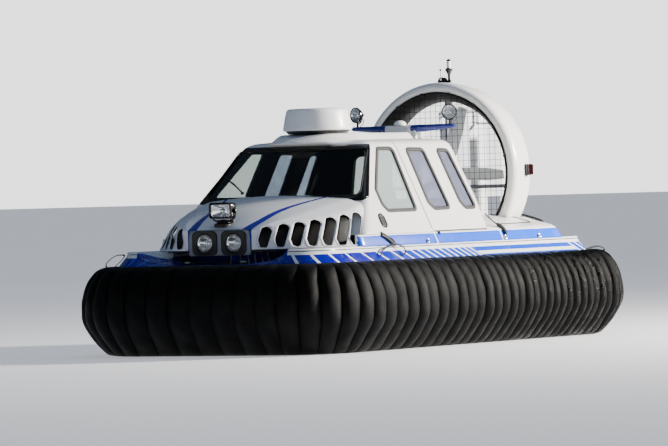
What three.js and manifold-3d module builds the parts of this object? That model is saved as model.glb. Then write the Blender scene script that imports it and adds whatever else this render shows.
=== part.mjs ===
// Light cabin hovercraft: finger skirt, two gullwing doors, one ducted propeller with four rudders.
// Millimetres. X to port, Y aft (the bow is at -Y), Z up from the ground under the inflated skirt.
import * as THREE from "three";
import { mergeVertices } from "three/addons/utils/BufferGeometryUtils.js";
import Module from "manifold-3d";

const wasm = await Module();
wasm.setup();

// Hull in plan and height
const HALF_BEAM = 1000;
const HALF_LENGTH = 2050;
const BOW_CORNER = 390;
const STERN_CORNER = 170;
const TUB_TOP = 655;
const TUB_BOTTOM = 262;
const TUB_BOTTOM_INSET = 360;
const RIM_Z = 690;
const BAND_SECTION = [
  // inset from the hull's edge, height
  [2, 655.6],
  [0, RIM_Z],
  [56, 752],
  [70, 768],
  [76, 800],
];
const SKID_X = 430;
const SKID_Z = 190;
const GAP = 0.6;

// Skirt: outward bulge past the hull edge, depth of the folds between fingers
const SKIRT_BULGE = 285;
const FOLD_DEPTH = 36;
const FINGER_PITCH_BOW = 205;
const FINGER_PITCH_AFT = 104;
const CREST_SHARES = [0, 0.5];

// Side band and after deck
const BAND_TOP = 880;
const DECK_CROWN = 990;
const BAND_FRONT = -1300;
const BAND_END_TOP = 1585;
const BAND_END_LOW = 1655;

// Cabin
const WALL = 34;
const EAVES_Z = 1556;
const EAVES_HALF = 585;
const ROOF_Z = 1611;
const DOOR_FRONT = -252;
const DOOR_REAR = 566;
const DOOR_GAP = 6;
const DOOR_HINGE_X = 330;
const FLOOR_Z = 400;
const CABIN_WELL_X = [-640, 640];
const CABIN_WELL_Y = [-1000, 520];

// Engine well under the hatch behind the cabin
const ENGINE_WELL_X = [-330, 330];
const ENGINE_WELL_Y = [800, 1118];

// Duct, propeller and rudders
const SHAFT_Z = 1328;
const DUCT_FRONT = 1280;
const DUCT_REAR = 1560;
const DUCT_OUTER = 735;
const DUCT_THROAT = 580;
const DUCT_SEAT_R = 743;
const DUCT_SEAT_FRONT = 1250;
const PROPELLER_Y = 1395;
const PROPELLER_R = 562;
const BLADES = 5;
const SHAFT_R = 20;
const RUDDER_X = [-420, -140, 140, 420];
const RUDDER_PIVOT_Y = 1640;
const RUDDER_CHORD = 250;
const RUDDER_PIN_R = 7;

const FINISH = {
  gelcoat: ["#e9e8e4", 0.35, 0],
  blue: ["#2f63c4", 0.35, 0],
  black: ["#15161a", 0.6, 0],
  skirt: ["#1b1b1d", 0.55, 0],
  glass: ["#7f9a94", 0.08, 0],
  chrome: ["#dadcdf", 0.15, 1],
  aluminium: ["#b9bcc0", 0.35, 0.9],
  grey: ["#8d9298", 0.45, 0],
  upholstery: ["#2b2d31", 0.8, 0],
  red: ["#b0171c", 0.3, 0],
  green: ["#0f7d3c", 0.3, 0],
};

const craft = new THREE.Group();

// Adds one named mesh to the craft from a geometry or a solid.
function node(name, finish, shape) {
  const [color, roughness, metalness] = FINISH[finish];
  const material = new THREE.MeshStandardMaterial({ color, roughness, metalness });
  const geometry = shape.isBufferGeometry ? shape : geometryOf(shape);
  const mesh = new THREE.Mesh(geometry, material);
  mesh.name = name;
  craft.add(mesh);
  return mesh;
}

function solid(geometry) {
  const bare = geometry.clone();
  for (const key of Object.keys(bare.attributes)) {
    if (key !== "position") bare.deleteAttribute(key);
  }
  const merged = mergeVertices(bare, 1e-3);
  return new wasm.Manifold(
    new wasm.Mesh({
      numProp: 3,
      vertProperties: Float32Array.from(merged.attributes.position.array),
      triVerts: Uint32Array.from(merged.index.array),
    }),
  );
}

function geometryOf(body) {
  const mesh = body.getMesh();
  const stride = mesh.numProp;
  const count = mesh.vertProperties.length / stride;
  const positions = new Float32Array(count * 3);
  for (let i = 0; i < count; i++) {
    positions.set(mesh.vertProperties.subarray(i * stride, i * stride + 3), i * 3);
  }
  const geometry = new THREE.BufferGeometry();
  geometry.setAttribute("position", new THREE.BufferAttribute(positions, 3));
  geometry.setIndex(new THREE.BufferAttribute(Uint32Array.from(mesh.triVerts), 1));
  return geometry;
}

function join(first, ...rest) {
  return rest.reduce((sum, next) => sum.add(next), first);
}

function cut(first, ...rest) {
  return rest.reduce((left, next) => left.subtract(next), first);
}

// A closed solid through rings of points [x, y, z], capped at the ends unless the rings close on themselves.
function loft(rings, closed = false) {
  const size = rings[0].length;
  const points = rings.flat();
  const faces = [];
  const steps = closed ? rings.length : rings.length - 1;
  for (let r = 0; r < steps; r++) {
    const low = r * size;
    const high = ((r + 1) % rings.length) * size;
    for (let k = 0; k < size; k++) {
      const next = (k + 1) % size;
      faces.push(low + k, low + next, high + next, low + k, high + next, high + k);
    }
  }
  if (!closed) {
    const last = (rings.length - 1) * size;
    for (const [a, b, c] of capOf(rings[0])) faces.push(c, b, a);
    for (const [a, b, c] of capOf(rings[rings.length - 1])) faces.push(last + a, last + b, last + c);
  }
  const geometry = new THREE.BufferGeometry();
  geometry.setAttribute("position", new THREE.Float32BufferAttribute(points.flat(), 3));
  geometry.setIndex(volumeOf(points, faces) < 0 ? faces.reverse() : faces);
  return solid(geometry);
}

function volumeOf(points, faces) {
  let sum = 0;
  for (let i = 0; i < faces.length; i += 3) {
    const [a, b, c] = [points[faces[i]], points[faces[i + 1]], points[faces[i + 2]]];
    sum += a[0] * (b[1] * c[2] - b[2] * c[1]);
    sum += a[1] * (b[2] * c[0] - b[0] * c[2]);
    sum += a[2] * (b[0] * c[1] - b[1] * c[0]);
  }
  return sum;
}

// Triangles across a ring, worked out in the plane that the ring faces, in the ring's own direction.
function capOf(ring) {
  const normal = new THREE.Vector3();
  ring.forEach((p, i) => {
    const q = ring[(i + 1) % ring.length];
    normal.add(new THREE.Vector3(...p).cross(new THREE.Vector3(...q)));
  });
  normal.normalize();
  const helper = Math.abs(normal.z) < 0.8 ? new THREE.Vector3(0, 0, 1) : new THREE.Vector3(1, 0, 0);
  const across = helper.clone().cross(normal).normalize();
  const up = normal.clone().cross(across);
  const flat = ring.map((p) => {
    const v = new THREE.Vector3(...p);
    return new THREE.Vector2(v.dot(across), v.dot(up));
  });
  return THREE.ShapeUtils.triangulateShape(flat, []);
}

// Prisms: an outline in one plane carried straight along the axis named.
const prismX = (outline, x0, x1) => loft([x0, x1].map((x) => outline.map(([y, z]) => [x, y, z])));
const prismY = (outline, y0, y1) => loft([y0, y1].map((y) => outline.map(([x, z]) => [x, y, z])));
const prismZ = (outline, z0, z1) => loft([z0, z1].map((z) => outline.map(([x, y]) => [x, y, z])));

function block([x0, x1], [y0, y1], [z0, z1]) {
  const outline = [
    [x0, y0],
    [x1, y0],
    [x1, y1],
    [x0, y1],
  ];
  return prismZ(outline, z0, z1);
}

// A round bar or cone from one point to another.
function bar(from, to, radius, endRadius = radius, sides = 12) {
  const start = new THREE.Vector3(...from);
  const end = new THREE.Vector3(...to);
  const geometry = new THREE.CylinderGeometry(endRadius, radius, start.distanceTo(end), sides);
  const turn = new THREE.Quaternion().setFromUnitVectors(
    new THREE.Vector3(0, 1, 0),
    end.clone().sub(start).normalize(),
  );
  geometry.applyQuaternion(turn);
  const middle = start.clone().add(end).multiplyScalar(0.5);
  geometry.translate(middle.x, middle.y, middle.z);
  return solid(geometry);
}

function mirrored(body) {
  return body.mirror([1, 0, 0]);
}

// A rounded rectangle about a centre, corners as short arcs.
function roundedRectangle(cx, cy, width, height, radius, steps = 3) {
  const outline = [];
  const corners = [
    [1, 1, 0],
    [-1, 1, 1],
    [-1, -1, 2],
    [1, -1, 3],
  ];
  for (const [sx, sy, quarter] of corners) {
    for (let i = 0; i <= steps; i++) {
      const angle = ((quarter + i / steps) * Math.PI) / 2;
      const x = cx + sx * (width / 2 - radius) + radius * Math.cos(angle);
      const y = cy + sy * (height / 2 - radius) + radius * Math.sin(angle);
      outline.push([x, y]);
    }
  }
  return outline;
}

// Half of the hull's plan, from the bow's centre round the port side to the stern's centre.
function halfPlan(inset, arcSteps = 8) {
  const beam = HALF_BEAM - inset;
  const ends = HALF_LENGTH - inset;
  const bowRadius = Math.max(BOW_CORNER - inset, 60);
  const sternRadius = Math.max(STERN_CORNER - inset, 40);
  const points = [[0, -ends]];
  for (let i = 0; i <= arcSteps; i++) {
    const angle = (i / arcSteps) * (Math.PI / 2);
    points.push([
      beam - bowRadius + bowRadius * Math.sin(angle),
      -ends + bowRadius - bowRadius * Math.cos(angle),
    ]);
  }
  for (let i = 0; i <= arcSteps; i++) {
    const angle = (i / arcSteps) * (Math.PI / 2);
    points.push([
      beam - sternRadius + sternRadius * Math.cos(angle),
      ends - sternRadius + sternRadius * Math.sin(angle),
    ]);
  }
  points.push([0, ends]);
  return points;
}

function planRing(inset, z, arcSteps = 8) {
  const half = halfPlan(inset, arcSteps);
  const mirroredHalf = half.slice(1, -1).reverse();
  return [...half, ...mirroredHalf.map(([x, y]) => [-x, y])].map(([x, y]) => [x, y, z]);
}

// Hull tub, with wells for the cabin floor, the engine and the duct
function makeTub() {
  const shell = loft([
    planRing(TUB_BOTTOM_INSET, TUB_BOTTOM),
    planRing(290, 300),
    planRing(22, 615),
    planRing(4, TUB_TOP),
  ]);
  const well = block(CABIN_WELL_X, CABIN_WELL_Y, [FLOOR_Z, 800]);
  const bay = block(ENGINE_WELL_X, ENGINE_WELL_Y, [FLOOR_Z, 800]);
  return cut(join(shell, makeSkid(SKID_X), makeSkid(-SKID_X)), well, bay, ductSeat(1590));
}

// The round trough that the duct sits in, as far aft as the place given.
function ductSeat(rear) {
  return bar([0, DUCT_SEAT_FRONT, SHAFT_Z], [0, rear, SHAFT_Z], DUCT_SEAT_R, undefined, 40);
}

function makeSkid(x) {
  const outline = [
    [-1250, TUB_BOTTOM + 20],
    [-1150, SKID_Z],
    [1250, SKID_Z],
    [1350, TUB_BOTTOM + 20],
  ];
  return prismX(outline, x - 45, x + 45);
}

// Skirt: the section of one finger, outward from the hull edge and up, carried round the hull
const SKIRT_SECTION = [
  // outward, height, share of the fold's depth
  [1, 640, 0],
  [72, 685, 0.3],
  [168, 654, 0.7],
  [240, 560, 1],
  [SKIRT_BULGE, 420, 1],
  [280, 265, 1],
  [205, 130, 0.9],
  [112, 24, 0.6],
  [50, 0, 0.5],
  [4, 0, 0.4],
  [-110, 92, 0.5],
  [-330, 252, 0],
  [-286, 298, 0],
  [-18, 613, 0],
];

function makeSkirt() {
  const plans = new Map();
  const pointAt = (inset, place) => {
    if (!plans.has(inset)) plans.set(inset, halfPlan(inset, 16));
    const plan = plans.get(inset);
    const index = Math.min(Math.floor(place), plan.length - 2);
    const share = place - index;
    return plan[index].map((v, axis) => v + (plan[index + 1][axis] - v) * share);
  };
  const places = fingerPlaces();
  const columns = [...places, ...places.slice(1, -1).reverse().map(([p, crest]) => [p, crest, true])];
  const rings = columns.map(([place, crest, starboard]) =>
    SKIRT_SECTION.map(([out, z, share]) => {
      const depth = crest ? 0 : FOLD_DEPTH * share;
      const [x, y] = pointAt(depth - out, place);
      return [starboard ? -x : x, y, z];
    }),
  );
  return loft(rings, true);
}

// Places along half the plan where the fingers' folds and crests stand, closer together towards the stern.
function fingerPlaces() {
  const plan = halfPlan(-SKIRT_BULGE, 16);
  const lengths = [0];
  for (let i = 1; i < plan.length; i++) {
    const step = Math.hypot(plan[i][0] - plan[i - 1][0], plan[i][1] - plan[i - 1][1]);
    lengths.push(lengths[i - 1] + step);
  }
  const total = lengths[lengths.length - 1];
  const folds = [0];
  while (folds[folds.length - 1] < total) {
    const run = folds[folds.length - 1];
    const share = Math.min(run / (0.62 * total), 1);
    folds.push(run + FINGER_PITCH_BOW + (FINGER_PITCH_AFT - FINGER_PITCH_BOW) * share);
  }
  const stretch = total / folds[folds.length - 1];
  const places = [];
  for (let f = 0; f < folds.length - 1; f++) {
    for (const share of CREST_SHARES) {
      places.push([stretch * (folds[f] + (folds[f + 1] - folds[f]) * share), share > 0]);
    }
  }
  places.push([total, false]);
  return places.map(([run, crest]) => {
    let i = 1;
    while (i < lengths.length - 1 && lengths[i] < run) i++;
    return [i - 1 + (run - lengths[i - 1]) / (lengths[i] - lengths[i - 1]), crest];
  });
}

// Deck moulding: striped lower band, strake, light upper band and crowned after deck
function makeDeck() {
  const lower = loft(BAND_SECTION.map(([inset, z]) => planRing(inset, z)));
  const bandSection = [
    [-932, 795],
    [932, 795],
    [911, BAND_TOP],
    [-911, BAND_TOP],
  ];
  const band = prismY(bandSection, BAND_FRONT, BAND_END_TOP);
  const crownSection = [
    [-930, 795],
    [930, 795],
    [909, BAND_TOP],
    [500, DECK_CROWN],
    [-500, DECK_CROWN],
    [-909, BAND_TOP],
  ];
  const crown = loft([
    crownSection.map(([x, z]) => [x, 600, z]),
    crownSection.map(([x, z]) => [x, z > 800 ? BAND_END_TOP : BAND_END_LOW, z]),
  ]);
  const bowStep = loft([
    [
      [-330, -2200, RIM_Z],
      [330, -2200, RIM_Z],
      [330, -1840, RIM_Z],
      [-330, -1840, RIM_Z],
    ],
    [
      [-640, -2200, 801],
      [640, -2200, 801],
      [560, -1780, 801],
      [-560, -1780, 801],
    ],
  ]);
  const cabinWell = block(CABIN_WELL_X, CABIN_WELL_Y, [500, 1100]);
  const engineWell = block(ENGINE_WELL_X, ENGINE_WELL_Y, [500, 1100]);
  return cut(join(lower, band, crown), bowStep, cabinWell, engineWell, ductSeat(1700), cabinBody(-GAP));
}

// Hood: each station's half widths and heights at the foot, the shoulder and the crease, and its middle
const HOOD = [
  // place aft, foot width, shoulder width, shoulder height, crease width, crease height, middle height
  [-1860, 283, 279, 900, 270, 943, 952],
  [-1835, 400, 360, 930, 275, 955, 968],
  [-1775, 520, 440, 955, 285, 980, 996],
  [-1695, 630, 520, 975, 300, 1010, 1030],
  [-1600, 730, 595, 990, 312, 1045, 1066],
  [-1490, 815, 660, 1008, 328, 1078, 1100],
  [-1370, 880, 715, 1030, 358, 1110, 1132],
  [-1260, 915, 755, 1050, 398, 1135, 1156],
  [-1160, 915, 783, 1075, 432, 1155, 1180],
  [-985, 915, 782, 1124, 500, 1192, 1216],
];
const HOOD_FOOT_Z = 803;
const PANEL_FOOT = 750;
const SEARCHLIGHT_Y = -1800;
const HEADLIGHT_X = 133;
const HEADLIGHT_Z = 848;
const HEADLIGHT_R = 66;
const LOUVRE_WIDTH = 66;
const LOUVRE_DEPTH = 34;
const LOUVRES = [
  // upper end: half width, place aft, height; lower end: the same
  [397, -1791, 961, 370, -1843, 807],
  [494, -1702, 979, 491, -1790, 811],
  [573, -1610, 990, 589, -1722, 815],
  [644, -1500, 1004, 683, -1641, 815],
  [707, -1383, 1018, 765, -1549, 814],
  [756, -1265, 1033, 832, -1454, 811],
  [793, -1152, 1045, 886, -1347, 811],
];

function makeHood() {
  const rings = HOOD.map(([y, foot, shoulder, shoulderZ, crease, creaseZ, centreZ]) => {
    const half = [
      [foot, HOOD_FOOT_Z],
      [shoulder, shoulderZ],
      [(shoulder + crease) / 2 + 12, (shoulderZ + creaseZ) / 2 + 14],
      [crease, creaseZ],
    ];
    const other = half.map(([x, z]) => [-x, z]).reverse();
    return [...half, [0, centreZ], ...other].map(([x, z]) => [x, y, z]);
  });
  const cutters = LOUVRES.flatMap((row, i) => {
    const last = LOUVRES.length - 1;
    const slot = makeLouvre(row, LOUVRES[Math.max(i - 1, 0)], LOUVRES[Math.min(i + 1, last)]);
    return [slot, mirrored(slot)];
  });
  const chin = block([-283, 283], [-1860, -1812], [PANEL_FOOT, HOOD_FOOT_Z + 2]);
  const webSeat = block([-60, 60], [-1853, -1840], [HEADLIGHT_Z - 21, HEADLIGHT_Z + 21]);
  const bezelSeats = [webSeat, ...[1, -1].map((side) => makeBezelBlock(side, GAP, -1840, -1900))];
  const lampSeat = bar([0, SEARCHLIGHT_Y, 984], [0, SEARCHLIGHT_Y, 1100], 62, 62, 18);
  const bandSeat = block([-1000, 1000], [BAND_FRONT - GAP, -900], [700, BAND_TOP + GAP]);
  return cut(join(loft(rings), chin), cabinBody(-GAP), bandSeat, lampSeat, ...bezelSeats, ...cutters);
}

// A headlight's square bezel with round corners, standing in the hood's front.
function makeBezelBlock(side, slack, yBack, yFront) {
  const outline = roundedRectangle(side * HEADLIGHT_X, HEADLIGHT_Z, 226 + 2 * slack, 172 + 2 * slack, 38);
  return prismY(outline, yBack, yFront);
}

function headlightDisc(side, yBack, yFront, radius) {
  const x = side * HEADLIGHT_X;
  return bar([x, yBack, HEADLIGHT_Z], [x, yFront, HEADLIGHT_Z], radius, undefined, 24);
}

function makeBezels() {
  const web = block([-HEADLIGHT_X, HEADLIGHT_X], [-1852, -1841], [HEADLIGHT_Z - 20, HEADLIGHT_Z + 20]);
  const blocks = [1, -1].map((side) => makeBezelBlock(side, 0, -1841, -1872));
  const holes = [1, -1].map((side) => headlightDisc(side, -1850, -1900, HEADLIGHT_R + GAP));
  return cut(join(web, ...blocks), ...holes);
}

// One leaning round-ended slot, sunk into the hood's side; its neighbours give the side's direction.
function makeLouvre(row, before, after) {
  const ends = [row.slice(0, 3), row.slice(3)].map((p) => new THREE.Vector3(...p));
  const middleOf = (r) => new THREE.Vector3(r[0] + r[3], r[1] + r[4], r[2] + r[5]).multiplyScalar(0.5);
  const up = ends[0].clone().sub(ends[1]).normalize();
  const along = middleOf(after).sub(middleOf(before));
  const across = along.addScaledVector(up, -along.dot(up)).normalize();
  const outward = across.clone().cross(up);
  const length = ends[0].distanceTo(ends[1]);
  const outline = roundedRectangle(0, 0, LOUVRE_WIDTH, length, 0.45 * LOUVRE_WIDTH);
  const place = ([u, v], depth) =>
    middleOf(row).addScaledVector(across, u).addScaledVector(up, v).addScaledVector(outward, depth).toArray();
  return loft([-LOUVRE_DEPTH, 120].map((depth) => outline.map((p) => place(p, depth))));
}

// Searchlight: a turned base let into the hood and a box head with a sunk front
const SEARCHLIGHT_BASE = [
  // radius, height
  [0, 984.6],
  [60, 984.6],
  [52, 1006],
  [30, 1030],
  [0, 1030],
];

function makeSearchlight() {
  const outline = [
    [SEARCHLIGHT_Y - 50, 1031],
    [SEARCHLIGHT_Y + 34, 1031],
    [SEARCHLIGHT_Y + 60, 1060],
    [SEARCHLIGHT_Y + 60, 1138],
    [SEARCHLIGHT_Y + 40, 1155],
    [SEARCHLIGHT_Y - 50, 1155],
  ];
  const face = block([-90, 90], [SEARCHLIGHT_Y - 60, SEARCHLIGHT_Y - 32], [1042, 1144]);
  return cut(prismX(outline, -100, 100), face);
}

// Bow rail: a low bar on the step with an eye at each end
function makeBowRail() {
  const y = -1905;
  const z = RIM_Z + GAP;
  let rail = block([-270, 270], [y - 12, y + 12], [z, z + 14]);
  for (const side of [1, -1]) {
    const eye = new THREE.TorusGeometry(17, 6, 6, 14);
    eye.rotateY(Math.PI / 2);
    eye.translate(side * 254, y, z + 26);
    rail = rail.add(turnedOut(eye));
  }
  return rail;
}

// Cabin sections: height, half width, front corner, front bulge, rear corner, rear bulge
const CABIN = [
  [BAND_TOP + GAP, 910, -1220, 150, 585, 150],
  [1150, 781, -993, 152, 604, 160],
  [EAVES_Z, EAVES_HALF, -650, 120, 562, 180],
  [1578, 566, -632, 120, 552, 180],
  [1593, 530, -603, 120, 534, 175],
  [1604, 450, -548, 108, 488, 160],
  [ROOF_Z, 290, -440, 84, 385, 130],
];

function cabinRing([z, half, front, frontBulge, rear, rearBulge], inset, drop) {
  const ring = [];
  const steps = 8;
  for (let i = 0; i <= steps; i++) {
    const s = -1 + (2 * i) / steps;
    ring.push([s * (half - inset), front + inset * 1.3 - frontBulge * (1 - s * s), z - drop]);
  }
  for (let i = 0; i <= steps; i++) {
    const s = 1 - (2 * i) / steps;
    const fall = Math.abs(s) ** 3;
    ring.push([s * (half - inset), rear - inset + rearBulge * (1 - fall), z - drop]);
  }
  return ring;
}

function cabinBody(inset) {
  return loft(
    CABIN.map((row, i) => {
      const low = inset > 0 ? 2 : -inset / 2;
      const drop = i === 0 ? low : i > 1 ? inset : 0;
      return cabinRing(row, inset, drop);
    }),
  );
}

// Window outlines seen from the side: place aft and height
const FRONT_WINDOW = [
  [-532, 1530],
  [-326, 1530],
  [-362, 1060],
  [-768, 1060],
  [-808, 1100],
  [-806, 1216],
];
const DOOR_WINDOW_A = [
  [-125, 1522],
  [105, 1518],
  [130, 1490],
  [130, 1062],
  [-80, 1062],
  [-140, 1110],
];
const DOOR_WINDOW_B = [
  [318, 1512],
  [440, 1508],
  [472, 1480],
  [512, 1060],
  [370, 1060],
  [326, 1110],
];

// An outline with every edge moved inwards by the same amount.
function insetOutline(outline, amount) {
  const area = outline.reduce((sum, [y, z], i) => {
    const [y2, z2] = outline[(i + 1) % outline.length];
    return sum + y * z2 - y2 * z;
  }, 0);
  const turn = Math.sign(area);
  const edges = outline.map(([y, z], i) => {
    const [y2, z2] = outline[(i + 1) % outline.length];
    const length = Math.hypot(y2 - y, z2 - z);
    const normal = [(-turn * (z2 - z)) / length, (turn * (y2 - y)) / length];
    return [normal, normal[0] * y + normal[1] * z + amount];
  });
  return outline.map((_, i) => {
    const [[a, b], c] = edges[(i + outline.length - 1) % outline.length];
    const [[d, e], f] = edges[i];
    const det = a * e - b * d;
    return [(c * e - b * f) / det, (a * f - c * d) / det];
  });
}

const WINDSCREEN = [
  [-720, 1182],
  [720, 1182],
  [556, 1530],
  [-556, 1530],
];
const REAR_WINDOW = [
  [-470, 1120],
  [470, 1120],
  [400, 1490],
  [-400, 1490],
];

// A pane: the part of a thin layer under the cabin's skin that an outline's prism holds.
function sidePane(outline) {
  const layer = cut(cabinBody(8), cabinBody(14));
  return layer.intersect(prismX(insetOutline(outline, 1), 400, 1000));
}

function endPane(outline, y0, y1) {
  const layer = cut(cabinBody(8), cabinBody(14));
  return layer.intersect(prismY(insetOutline(outline, 1), y0, y1));
}

function doorRegion(slack) {
  const outline = [
    [DOOR_FRONT - slack, 860],
    [DOOR_REAR + slack, 860],
    [DOOR_REAR + slack, 1800],
    [DOOR_FRONT - slack, 1800],
  ];
  return prismX(outline, DOOR_HINGE_X - slack, 1100).intersect(
    block([0, 1200], [-1000, 1000], [BAND_TOP + 8 - slack, 1900]),
  );
}

function makeCabin() {
  const shell = cut(cabinBody(0), cabinBody(WALL));
  const holes = [
    prismX(FRONT_WINDOW, 400, 1000),
    prismX(FRONT_WINDOW, -1000, -400),
    prismY(WINDSCREEN, -1300, -500),
    prismY(REAR_WINDOW, 400, 900),
  ];
  const doors = [doorRegion(DOOR_GAP), mirrored(doorRegion(DOOR_GAP))];
  return cut(shell, ...holes, ...doors);
}

function makeDoor() {
  const shell = cut(cabinBody(0), cabinBody(WALL));
  const panel = shell.intersect(doorRegion(0));
  return cut(panel, prismX(DOOR_WINDOW_A, 400, 1000), prismX(DOOR_WINDOW_B, 400, 1000));
}

// Duct: a closed profile of radius and place aft, turned about the shaft
function makeDuct() {
  const profile = [
    [DUCT_THROAT, 1420],
    [597, 1362],
    [632, 1320],
    [664, 1303],
    [676, 1287],
    [692, DUCT_FRONT],
    [712, 1288],
    [727, 1300],
    [DUCT_OUTER, 1318],
    [DUCT_OUTER - 4, 1400],
    [708, DUCT_REAR],
    [600, DUCT_REAR],
    [DUCT_THROAT, 1500],
    [DUCT_THROAT, 1420],
  ];
  const lathe = new THREE.LatheGeometry(
    profile.map(([r, y]) => new THREE.Vector2(r, y)),
    48,
  );
  lathe.translate(0, 0, SHAFT_Z);
  return turnedOut(lathe);
}

// A lathe or torus whose faces may point inwards is turned to point outwards.
function turnedOut(geometry) {
  const points = [];
  const position = geometry.attributes.position;
  for (let i = 0; i < position.count; i++) {
    points.push([position.getX(i), position.getY(i), position.getZ(i)]);
  }
  const faces = Array.from(geometry.index.array);
  if (volumeOf(points, faces) < 0) geometry.setIndex(faces.reverse());
  return solid(geometry);
}

// Inlet guard: a ring with two layers of wires, the upright ones ahead of the level ones
const GUARD_R = 662;
const GUARD_Y = 1292;
const GUARD_PITCH = 100;
const WIRE = 5;

function makeGuard() {
  const ring = new THREE.TorusGeometry(GUARD_R - 12, 9, 6, 40);
  ring.rotateX(Math.PI / 2);
  ring.translate(0, GUARD_Y, SHAFT_Z);
  let guard = turnedOut(ring);
  const reach = GUARD_R - 12;
  for (let k = -6; k <= 6; k++) {
    const offset = k * GUARD_PITCH;
    const half = Math.sqrt(reach * reach - offset * offset) - 2;
    const thick = [offset - WIRE / 2, offset + WIRE / 2];
    const span = [-half, half];
    const lifted = ([low, high]) => [SHAFT_Z + low, SHAFT_Z + high];
    const upright = block(thick, [GUARD_Y - 1 - WIRE, GUARD_Y - 1], lifted(span));
    const level = block(span, [GUARD_Y + 1, GUARD_Y + 1 + WIRE], lifted(thick));
    guard = guard.add(upright).add(level);
  }
  return guard;
}

// Propeller: twisted blades round a hub with a domed spinner
function makePropeller() {
  const hub = new THREE.LatheGeometry(
    [
      [0, PROPELLER_Y - 72],
      [38, PROPELLER_Y - 60],
      [66, PROPELLER_Y - 36],
      [75, PROPELLER_Y - 5],
      [75, PROPELLER_Y + 42],
      [0, PROPELLER_Y + 42],
    ].map(([r, y]) => new THREE.Vector2(r, y)),
    20,
  );
  const shaft = bar([0, PROPELLER_Y, 0], [0, PROPELLER_Y + 110, 0], SHAFT_R, undefined, 16);
  let rotor = join(turnedOut(hub), shaft);
  const sections = [
    // radius, chord, thickness, pitch angle in degrees
    [50, 70, 26, 48],
    [200, 118, 15, 33],
    [400, 112, 10, 22],
    [PROPELLER_R, 74, 6, 16],
  ];
  const rings = sections.map(([radius, chord, thick, pitch]) => {
    const a = (pitch * Math.PI) / 180;
    const outline = [
      [-0.5, 0],
      [-0.25, 0.5],
      [0.15, 0.5],
      [0.5, 0.06],
      [0.5, -0.06],
      [0.1, -0.4],
      [-0.25, -0.4],
    ];
    return outline.map(([c, t]) => {
      const u = c * chord;
      const v = t * thick;
      return [u * Math.cos(a) - v * Math.sin(a), u * Math.sin(a) + v * Math.cos(a), radius];
    });
  });
  const blade = loft(rings);
  for (let k = 0; k < BLADES; k++) {
    rotor = rotor.add(blade.rotate([0, (360 * k) / BLADES + 20, 0]).translate([0, PROPELLER_Y, 0]));
  }
  return rotor.translate([0, 0, SHAFT_Z]);
}

function makeHubSeat() {
  return turnedOut(
    new THREE.LatheGeometry(
      [
        [0, PROPELLER_Y + 50],
        [62, PROPELLER_Y + 50],
        [62, PROPELLER_Y + 140],
        [40, PROPELLER_Y + 175],
        [0, PROPELLER_Y + 175],
      ].map(([r, y]) => new THREE.Vector2(r, y)),
      16,
    ),
  );
}

// Pylon: shaft housing held by an upright strut and two level tubes inside the duct
function makePylon() {
  const y = PROPELLER_Y + 95;
  const reach = DUCT_THROAT - 2.5;
  const housing = makeHubSeat().translate([0, 0, SHAFT_Z]);
  const strutOutline = [
    [-9, y - 45],
    [9, y - 45],
    [14, y],
    [4, y + 62],
    [-4, y + 62],
    [-14, y],
  ];
  const strut = prismZ(strutOutline, SHAFT_Z - reach, SHAFT_Z + reach);
  const drop = 115;
  const half = Math.sqrt(reach * reach - drop * drop) - 12;
  const tube = bar([-half, y, SHAFT_Z - drop], [half, y, SHAFT_Z - drop], 14);
  const bore = bar([0, PROPELLER_Y, SHAFT_Z], [0, PROPELLER_Y + 120, SHAFT_Z], SHAFT_R + 1, undefined, 16);
  return cut(join(housing, strut, tube), bore);
}

function makeRudder(x) {
  const half = rudderHalf(x);
  const y0 = RUDDER_PIVOT_Y - 70;
  const outline = [
    [x, y0],
    [x + 9, y0 + 30],
    [x + 11, y0 + 80],
    [x + 2, y0 + RUDDER_CHORD],
    [x - 2, y0 + RUDDER_CHORD],
    [x - 11, y0 + 80],
    [x - 9, y0 + 30],
  ];
  const vane = prismZ(outline, SHAFT_Z - half, SHAFT_Z + half);
  const reach = half + 25;
  const pin = bar([x, RUDDER_PIVOT_Y, SHAFT_Z - reach], [x, RUDDER_PIVOT_Y, SHAFT_Z + reach], RUDDER_PIN_R);
  return join(vane, pin);
}

function rudderHalf(x) {
  return Math.abs(x) < 200 ? 470 : 372;
}

// Rudder frame: level bars above and below the vanes, carried back from the duct's rear edge
function makeRudderFrame(side) {
  const heightOf = (x) => SHAFT_Z + side * (rudderHalf(x) + 22);
  const high = heightOf(RUDDER_X[1]);
  const low = heightOf(RUDDER_X[0]);
  const depth = [RUDDER_PIVOT_Y - 16, RUDDER_PIVOT_Y + 16];
  const plate = (z) => [z - 5, z + 5];
  const inner = Math.min(high, low) - 5;
  const outer = Math.max(high, low) + 5;
  const pieces = [
    // across, fore and aft, up
    [[RUDDER_X[1] - 40, RUDDER_X[2] + 40], depth, plate(high)],
    [[RUDDER_X[0] - 40, RUDDER_X[1] - 34], depth, plate(low)],
    [[RUDDER_X[2] + 34, RUDDER_X[3] + 40], depth, plate(low)],
    [[RUDDER_X[1] - 40, RUDDER_X[1] - 34], depth, [inner, outer]],
    [[RUDDER_X[2] + 34, RUDDER_X[2] + 40], depth, [inner, outer]],
    [[RUDDER_X[0] - 40, RUDDER_X[0] - 28], [DUCT_REAR + GAP, depth[1]], plate(low)],
    [[RUDDER_X[3] + 28, RUDDER_X[3] + 40], [DUCT_REAR + GAP, depth[1]], plate(low)],
  ];
  const bores = RUDDER_X.map((x) => {
    const z = heightOf(x);
    return bar([x, RUDDER_PIVOT_Y, z - 12], [x, RUDDER_PIVOT_Y, z + 12], RUDDER_PIN_R + 1);
  });
  return cut(join(...pieces.map((piece) => block(...piece))), ...bores);
}

// Steering bar: the column's foot in the dashboard and its head
const STEER_X = 280;
const STEER_FOOT = [STEER_X, -785, 1006.5];
const STEER_HEAD = [STEER_X, -690, 1040];

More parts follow.
